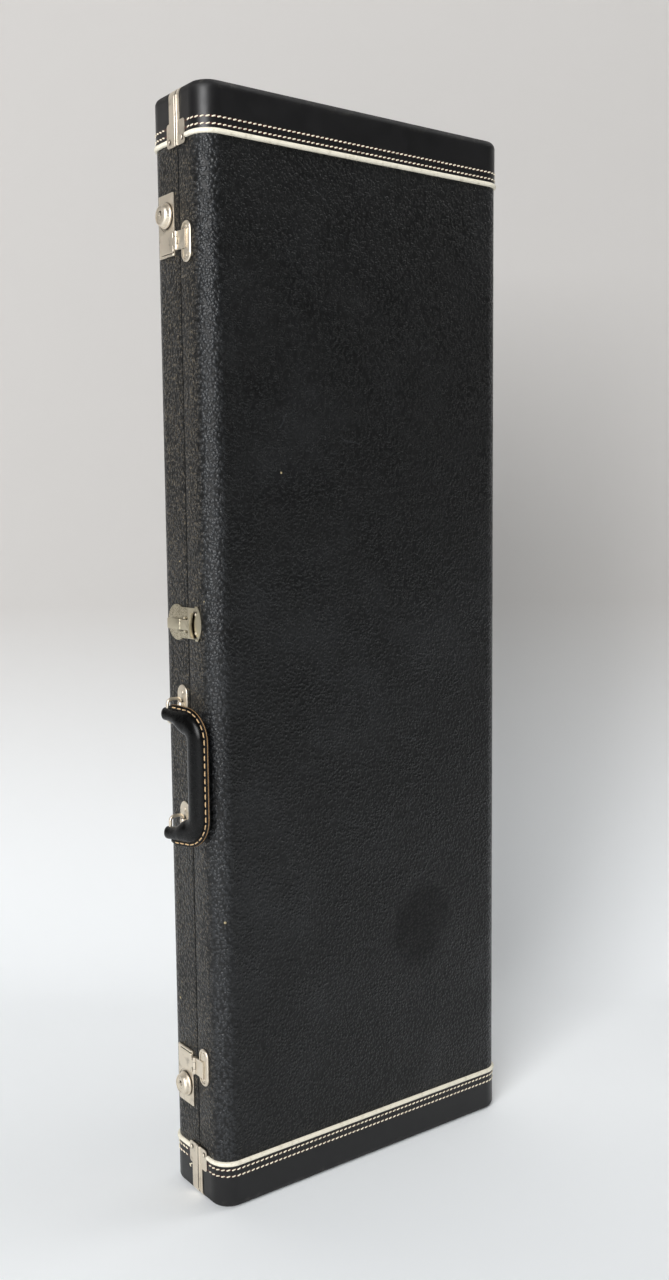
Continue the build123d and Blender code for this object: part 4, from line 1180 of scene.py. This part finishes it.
class CASE_OT_rivets(bpy.types.Operator):
    """Rivet the strips, lugs, hasp plates, strike and hinges"""

    bl_idname = "case.rivets"
    bl_label = "Rivets"

    # Height of a head as a share of its radius
    doming = 0.38
    # Rivets' distances from the edges of the parts that they hold, across and along the case
    strip_in, strip_up = 4.2 * MM, 5.2 * MM
    hinge_in, hinge_steps = 4.5 * MM, (8 * MM, 42 * MM)
    lug_up = 7.4 * MM
    hasp_in, hasp_up = 7.8 * MM, 5.4 * MM
    strike_in, strike_steps = 8.7 * MM, (-8.5 * MM, 8.5 * MM)
    # Length of one of the three hinges
    hinge_length = 50 * MM
    # How far outside the covering, or inside a strip's face, the heads stand
    strip_sink = 0.2 * MM
    hinge_lift, lug_lift, hasp_lift, strike_lift = 1.5 * MM, 1.2 * MM, 1.0 * MM, 1.2 * MM

    def execute(self, context):
        settings = context.scene.hard_case.metal
        plated = nickel("nickel_plated_rivet", settings, settings.tone)
        for half, side in HALVES:
            spots = list(self.strip_spots(half, side)) + list(self.hinge_spots(half))
            small = []
            if half == "base":
                spots += self.lug_spots()
            else:
                small = self.latch_spots()
            for size, radius, places in (
                ("large", settings.rivet, spots),
                ("small", settings.small_rivet, small),
            ):
                if places:
                    rivet = make_rivet(radius, self.doming * radius)
                    heads = repeat(rivet, [self.stand_on(*place) for place in places])
                    settle(heads, f"{half}_{size}_rivets", plated, half, smooth=50)
        return {"FINISHED"}

    def stand_on(self, x, y, z):
        """Place of a rivet on a narrow side, its head pointing away from the case."""
        turn = math.radians(90 if x > 0 else -90)
        return Matrix.Translation((x, y, z)) @ Matrix.Rotation(turn, 4, "Y")

    def strip_spots(self, half, side):
        """One rivet on each narrow side through each of this half's strips."""
        for end in ENDS:
            low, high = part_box(f"{half}_{end}_strip")
            y = high.y - self.strip_in if side > 0 else low.y + self.strip_in
            z = high.z - self.strip_up if end == "lower" else low.z + self.strip_up
            for x in (low.x, high.x):
                yield x - math.copysign(self.strip_sink, x), y, z

    def hinge_spots(self, half):
        """Two rivets through this half's leaf of each hinge."""
        low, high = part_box(f"hinge_{half}_leaves")
        y = high.y - self.hinge_in if half == "base" else low.y + self.hinge_in
        middle = (low.z + high.z - self.hinge_length) / 2
        for z in (low.z, middle, high.z - self.hinge_length):
            for step in self.hinge_steps:
                yield COVERED_HALF + self.hinge_lift, y, z + step

    def lug_spots(self):
        """Two rivets through each handle lug."""
        for end in ENDS:
            low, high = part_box(f"{end}_handle_lug")
            for z in (low.z + self.lug_up, high.z - self.lug_up):
                yield -COVERED_HALF - self.lug_lift, (low.y + high.y) / 2, z

    def latch_spots(self):
        """Two small rivets through each hasp plate and two through the strike."""
        spots = []
        for end in ENDS:
            low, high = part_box(f"{end}_hasp_plate")
            for z in (low.z + self.hasp_up, high.z - self.hasp_up):
                spots.append((-COVERED_HALF - self.hasp_lift, low.y + self.hasp_in, z))
        low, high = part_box("centre_strike")
        for step in self.strike_steps:
            z = (low.z + high.z) / 2 + step
            spots.append((-COVERED_HALF - self.strike_lift, low.y + self.strike_in, z))
        return spots


class CASE_OT_bails(bpy.types.Operator):
    """Bend the wire bails"""

    bl_idname = "case.bails"
    bl_label = "Bails"

    def execute(self, context):
        settings = context.scene.hard_case.metal
        plated = nickel("nickel_plated_wire", settings, settings.tone)
        for end in ENDS:
            part = f"{end}_bail"
            low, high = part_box(part)
            wire, bend = settings.wire, settings.wire_bend
            half = (high.z - low.z) / 2 - wire
            across = high.x - low.x - 2 * wire
            bpy.ops.mesh.primitive_circle_add(vertices=12, radius=wire)
            bail = bpy.context.object
            edit(bail)
            bpy.ops.transform.translate(value=(across / 2, 0, 0))
            draw_out((0, 0, half - bend))
            self.turn_wire((across / 2 - bend, 0, half - bend))
            draw_out((2 * bend - across, 0, 0))
            self.turn_wire((bend - across / 2, 0, half - bend))
            draw_out((0, 0, bend - half))
            deselect()
            finish_with(bail, "MIRROR", use_axis=(False, False, True), merge_threshold=0.01 * MM)
            face_outwards(bail)
            bail.location = (low + high) / 2
            settle(bail, f"{end}_bail_wire", plated, "bails", smooth=60)
            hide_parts(part)
        return {"FINISHED"}

    def turn_wire(self, centre):
        """Bend the wire's selected end by a quarter turn."""
        bpy.ops.mesh.spin(steps=6, angle=math.pi / 2, center=centre, axis=(0, 1, 0))


class CASE_OT_handle(bpy.types.Operator):
    """Roll the leather handle, sew its edge and hang it in the bails"""

    bl_idname = "case.handle"
    bl_label = "Handle"

    # How the roll narrows down each arm, in millimetres: its distance from the grip's middle and
    # from the bails, and its width and thickness there as shares of the full ones
    roll_arm = (
        (50.6, 20.0, 0.93, 0.99),
        (52.0, 16.0, 0.8, 0.95),
        (53.6, 12.0, 0.67, 0.86),
        (54.8, 6.0, 0.57, 0.77),
        (55.4, 0.0, 0.55, 0.71),
        (55.6, -3.8, 0.55, 0.68),
        (55.6, -4.4, 0.53, 0.64),
    )
    # How the band ends on each arm, in millimetres: its outer edge beyond the roll's line, the
    # distance from the bails, and the band's width and thickness there as shares of the full ones
    edge_end = ((0.5, 17, 1.0, 1.0), (0.86, 11, 0.95, 1.0), (0.26, 6, 0.7, 0.9), (-1.28, 2, 0.4, 0.8))
    # Inner and outer distance of each band from the roll's middle line, and its thickness
    sewn_band = (9.0 * MM, 14.6 * MM, 3.2 * MM)
    cut_band = (14.1 * MM, 14.8 * MM, 0.9 * MM)
    # Distance of the seam from the roll's middle line, and of its stitches from the band's middle
    seam_reach = 12.2 * MM
    seam_lift = 1.65 * MM

    def execute(self, context):
        settings = context.scene.hard_case.handle
        hide = glazed_leather(settings)
        place = handle_frame(settings)
        self.make_roll(settings, hide, place)
        self.make_edge("handle_sewn_edge", settings, hide, place, *self.sewn_band)
        self.make_edge("handle_cut_edge", settings, cut_leather(settings), place, *self.cut_band)
        tan = twisted_thread("waxed_linen_thread", settings.thread_tone)
        stitch = make_stitch(settings.stitch, settings.thread)
        places = []
        for face in (-1, 1):
            flip = Matrix.Rotation(math.pi if face < 0 else 0, 4, "X")
            for x, y, turn in handle_row(settings, self.seam_reach):
                spot = Matrix.Translation((x, y, face * self.seam_lift))
                places.append(place @ spot @ Matrix.Rotation(turn, 4, "Z") @ flip)
        seam = repeat(stitch, places)
        settle(seam, "handle_stitching", tan, "handle", smooth=60)
        return {"FINISHED"}

    def make_roll(self, settings, hide, place):
        """The roll: an oval profile that narrows down both arms to the loops on the bails."""
        bpy.ops.mesh.primitive_circle_add(vertices=20, radius=1, rotation=(0, math.pi / 2, 0))
        roll = bpy.context.object
        apply_place(roll)
        edit(roll)
        oval = (1, settings.half_width, settings.half_thick)
        bpy.ops.transform.resize(value=oval, center_override=(0, 0, 0))
        deselect()
        arm = [
            ((off * MM, drop * MM, 0), wide, thick) for off, drop, wide, thick in self.roll_arm
        ]
        sweep_handle(roll, settings, 0, arm)
        finish_with(roll, "SUBSURF", levels=1, render_levels=1)
        roll.matrix_world = place
        settle(roll, "handle_roll", hide, "handle", smooth=50)
        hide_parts("handle_grip")

    def make_edge(self, name, settings, material, place, near, far, thick):
        """A flat band round the outside of the roll, between two distances from its middle line."""
        reach = (near + far) / 2
        bpy.ops.mesh.primitive_plane_add(size=1, rotation=(0, math.pi / 2, 0))
        band = bpy.context.object
        apply_place(band)
        edit(band)
        bpy.ops.transform.resize(value=(1, far - near, thick), center_override=(0, 0, 0))
        bpy.ops.transform.translate(value=(0, reach, 0))
        bpy.ops.mesh.delete(type="ONLY_FACE")
        bpy.ops.mesh.select_all(action="SELECT")
        rim = settings.straight + settings.bend + far
        half = (far - near) / 2
        arm = [
            ((rim + beyond * MM - half * wide, drop * MM, 0), wide, thin)
            for beyond, drop, wide, thin in self.edge_end
        ]
        deselect()
        sweep_handle(band, settings, reach, arm)
        round_edges(band, 0.25 * MM, segments=2, degrees=51.6)
        band.matrix_world = place
        settle(band, name, material, "handle", smooth=50)


class CASE_OT_boards(bpy.types.Operator):
    """Show the bare plywood where the covering leaves it open"""

    bl_idname = "case.boards"
    bl_label = "Boards"

    boards = ("panel", "handle_wall", "hinge_wall", "edge_battens", "end_boards")

    def execute(self, context):
        birch = plywood(context.scene.hard_case.lining)
        for half, _ in HALVES:
            for board in self.boards:
                dress(f"{half}_{board}", birch)
        return {"FINISHED"}


class CASE_OT_lining(bpy.types.Operator):
    """Line both halves with plush and fill the padding"""

    bl_idname = "case.lining"
    bl_label = "Lining"

    sheets = ("base_lining", "lid_lining", "accessory_box")
    pads = ("body_end_pad", "waist_pads", "shoulder_pads", "neck_cradle")

    def execute(self, context):
        settings = context.scene.hard_case.lining
        pile = plush(settings)
        for part in self.sheets:
            sheet = copy_of(part)
            round_edges(sheet, 0.9 * MM, segments=3, degrees=40.1)
            settle(sheet, f"{part}_plush", pile, BODY_OF[part], smooth=60)
            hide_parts(part)
        for part in self.pads:
            pad = copy_of(part)
            self.soften(context, pad, settings)
            settle(pad, f"{part}_padding", pile, BODY_OF[part], smooth=180)
            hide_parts(part)
        return {"FINISHED"}

    def soften(self, context, pad, settings):
        """Turn a block into a filled pad: an even grid, blown up a little, each point by swell at most."""
        take(pad)
        pad.data.remesh_voxel_size = settings.voxel
        bpy.ops.object.voxel_remesh()
        finish_with(pad, "SMOOTH", factor=0.5, iterations=6)
        start = [vertex.co.copy() for vertex in pad.data.vertices]
        take(pad)
        bpy.ops.object.modifier_add(type="CLOTH")
        cloth = pad.modifiers[-1]
        cloth.settings.use_pressure = True
        cloth.settings.uniform_pressure_force = settings.pressure
        cloth.settings.effector_weights.gravity = 0
        cloth.settings.quality = 5
        for number in range(1, settings.frames + 1):
            context.scene.frame_set(number)
        bpy.ops.object.modifier_apply(modifier=cloth.name)
        context.scene.frame_set(1)
        for vertex, before in zip(pad.data.vertices, start):
            step = vertex.co - before
            if step.length > settings.swell:
                vertex.co = before + step.normalized() * settings.swell
        finish_with(pad, "SUBSURF", levels=1, render_levels=1)


class CASE_OT_stage(bpy.types.Operator):
    """Set up the paper sweep, the lights and the camera"""

    bl_idname = "case.stage"
    bl_label = "Stage"

    eye = Vector((-0.7500, -1.0014, 0.6473))
    yaw, pitch, roll = -36.585, -5.848, -0.586
    # Each lamp's name, place, width and height, and watts
    lamps = (
        ("window", (-3.0, -1.9, 2.0), (2.0, 2.2), 152),
        ("ceiling", (1.4, 0.2, 3.0), (2.6, 2.4), 60),
    )
    lit_point = Vector((0, 0, 0.5))
    # The sweep's width and the depth that lies on the floor, how far it lies above the floor paper,
    # and how far it rises above its curve, in metres
    sheet_width, sheet_foot, sheet_lift, sheet_rise = 9, 0.2, 0.0004, 4

    def execute(self, context):
        settings = context.scene.hard_case.stage
        self.set_camera(context, settings)
        self.hang_paper(settings)
        self.set_lights(context)
        context.scene.view_settings.view_transform = "Standard"
        return {"FINISHED"}

    def set_camera(self, context, settings):
        """Place the camera by its eye, heading, pitch and roll."""
        bpy.ops.object.camera_add()
        camera = context.object
        yaw, pitch, roll = (math.radians(angle) for angle in (self.yaw, self.pitch, self.roll))
        ahead = Vector((-math.sin(yaw) * math.cos(pitch), math.cos(yaw) * math.cos(pitch), math.sin(pitch)))
        right = ahead.cross(Vector((0, 0, 1))).normalized()
        level = right * math.cos(roll) + right.cross(ahead) * math.sin(roll)
        turned = Matrix((level, level.cross(ahead), -ahead)).transposed().to_4x4()
        camera.matrix_world = Matrix.Translation(self.eye) @ turned
        camera.data.sensor_width = 36
        camera.data.lens = settings.lens
        camera.data.clip_start, camera.data.clip_end = 0.05, 60
        context.scene.camera = camera

    def hang_paper(self, settings):
        """Floor paper all round, and a sheet that rises in a curve behind the case."""
        yaw = math.radians(self.yaw)
        heading = Vector((-math.sin(yaw), math.cos(yaw), 0))
        start = Vector((self.eye.x, self.eye.y, 0)) + heading * settings.distance
        bpy.ops.mesh.primitive_plane_add(size=14)
        floor = bpy.context.object
        bpy.ops.mesh.primitive_plane_add(size=1)
        paper = bpy.context.object
        edit(paper)
        bpy.ops.transform.resize(value=(self.sheet_width, self.sheet_foot, 1), center_override=(0, 0, 0))
        bpy.ops.transform.translate(value=(0, -self.sheet_foot / 2, self.sheet_lift))
        pick(paper, lambda co: co.y > -self.sheet_foot / 2)
        bpy.ops.mesh.spin(steps=24, angle=-math.pi / 2, center=(0, 0, settings.sweep), axis=(1, 0, 0))
        draw_out((0, 0, self.sheet_rise))
        deselect()
        paper.location = start
        paper.rotation_euler.z = yaw
        apply_place(paper)
        bpy.ops.object.shade_smooth()
        for piece, name, one_sided in ((floor, "paper_floor", False), (paper, "paper_sweep", True)):
            piece.name = piece.data.name = name
            piece.data.materials.append(backdrop_paper(name, settings, one_sided))

    def set_lights(self, context):
        """Two soft lamps that shine on the middle of the case, and dim air all round."""
        for name, spot, size, watts in self.lamps:
            bpy.ops.object.light_add(type="AREA", location=spot)
            lamp = context.object
            lamp.name = name
            lamp.data.shape = "RECTANGLE"
            lamp.data.size, lamp.data.size_y = size
            lamp.data.energy = watts
            ray = self.lit_point - Vector(spot)
            lamp.rotation_euler = ray.to_track_quat("-Z", "Y").to_euler()
        world = bpy.data.worlds.new("studio_air")
        world.use_nodes = True
        sky = next(n for n in world.node_tree.nodes if n.type == "BACKGROUND")
        plug(world.node_tree, sky, {"Color": linear("#e6e8ea"), "Strength": 0.17})
        context.scene.world = world


class CASE_PT_sidebar(bpy.types.Panel):
    """Lists the steps that finish the case"""

    bl_idname = "CASE_PT_sidebar"
    bl_label = "Hard case"
    bl_space_type = "VIEW_3D"
    bl_region_type = "UI"
    bl_category = "Hard Case"

    def draw(self, context):
        for step in STEPS:
            self.layout.operator(step.bl_idname)


STEPS = (
    CASE_OT_stage,
    CASE_OT_covering,
    CASE_OT_ends,
    CASE_OT_metalwork,
    CASE_OT_rivets,
    CASE_OT_bails,
    CASE_OT_handle,
    CASE_OT_boards,
    CASE_OT_lining,
)
CLASSES = (
    CoveringSettings,
    EndSettings,
    MetalSettings,
    HandleSettings,
    LiningSettings,
    StageSettings,
    CaseSettings,
    *STEPS,
    CASE_PT_sidebar,
)


def register():
    for cls in CLASSES:
        bpy.utils.register_class(cls)
    bpy.types.Scene.hard_case = PointerProperty(type=CaseSettings)


def unregister():
    del bpy.types.Scene.hard_case
    for cls in reversed(CLASSES):
        bpy.utils.unregister_class(cls)


def main():
    """Run every step in order."""
    register()
    for step in STEPS:
        group, name = step.bl_idname.split(".")
        deselect()
        getattr(getattr(bpy.ops, group), name)()


if __name__ == "__main__":
    main()
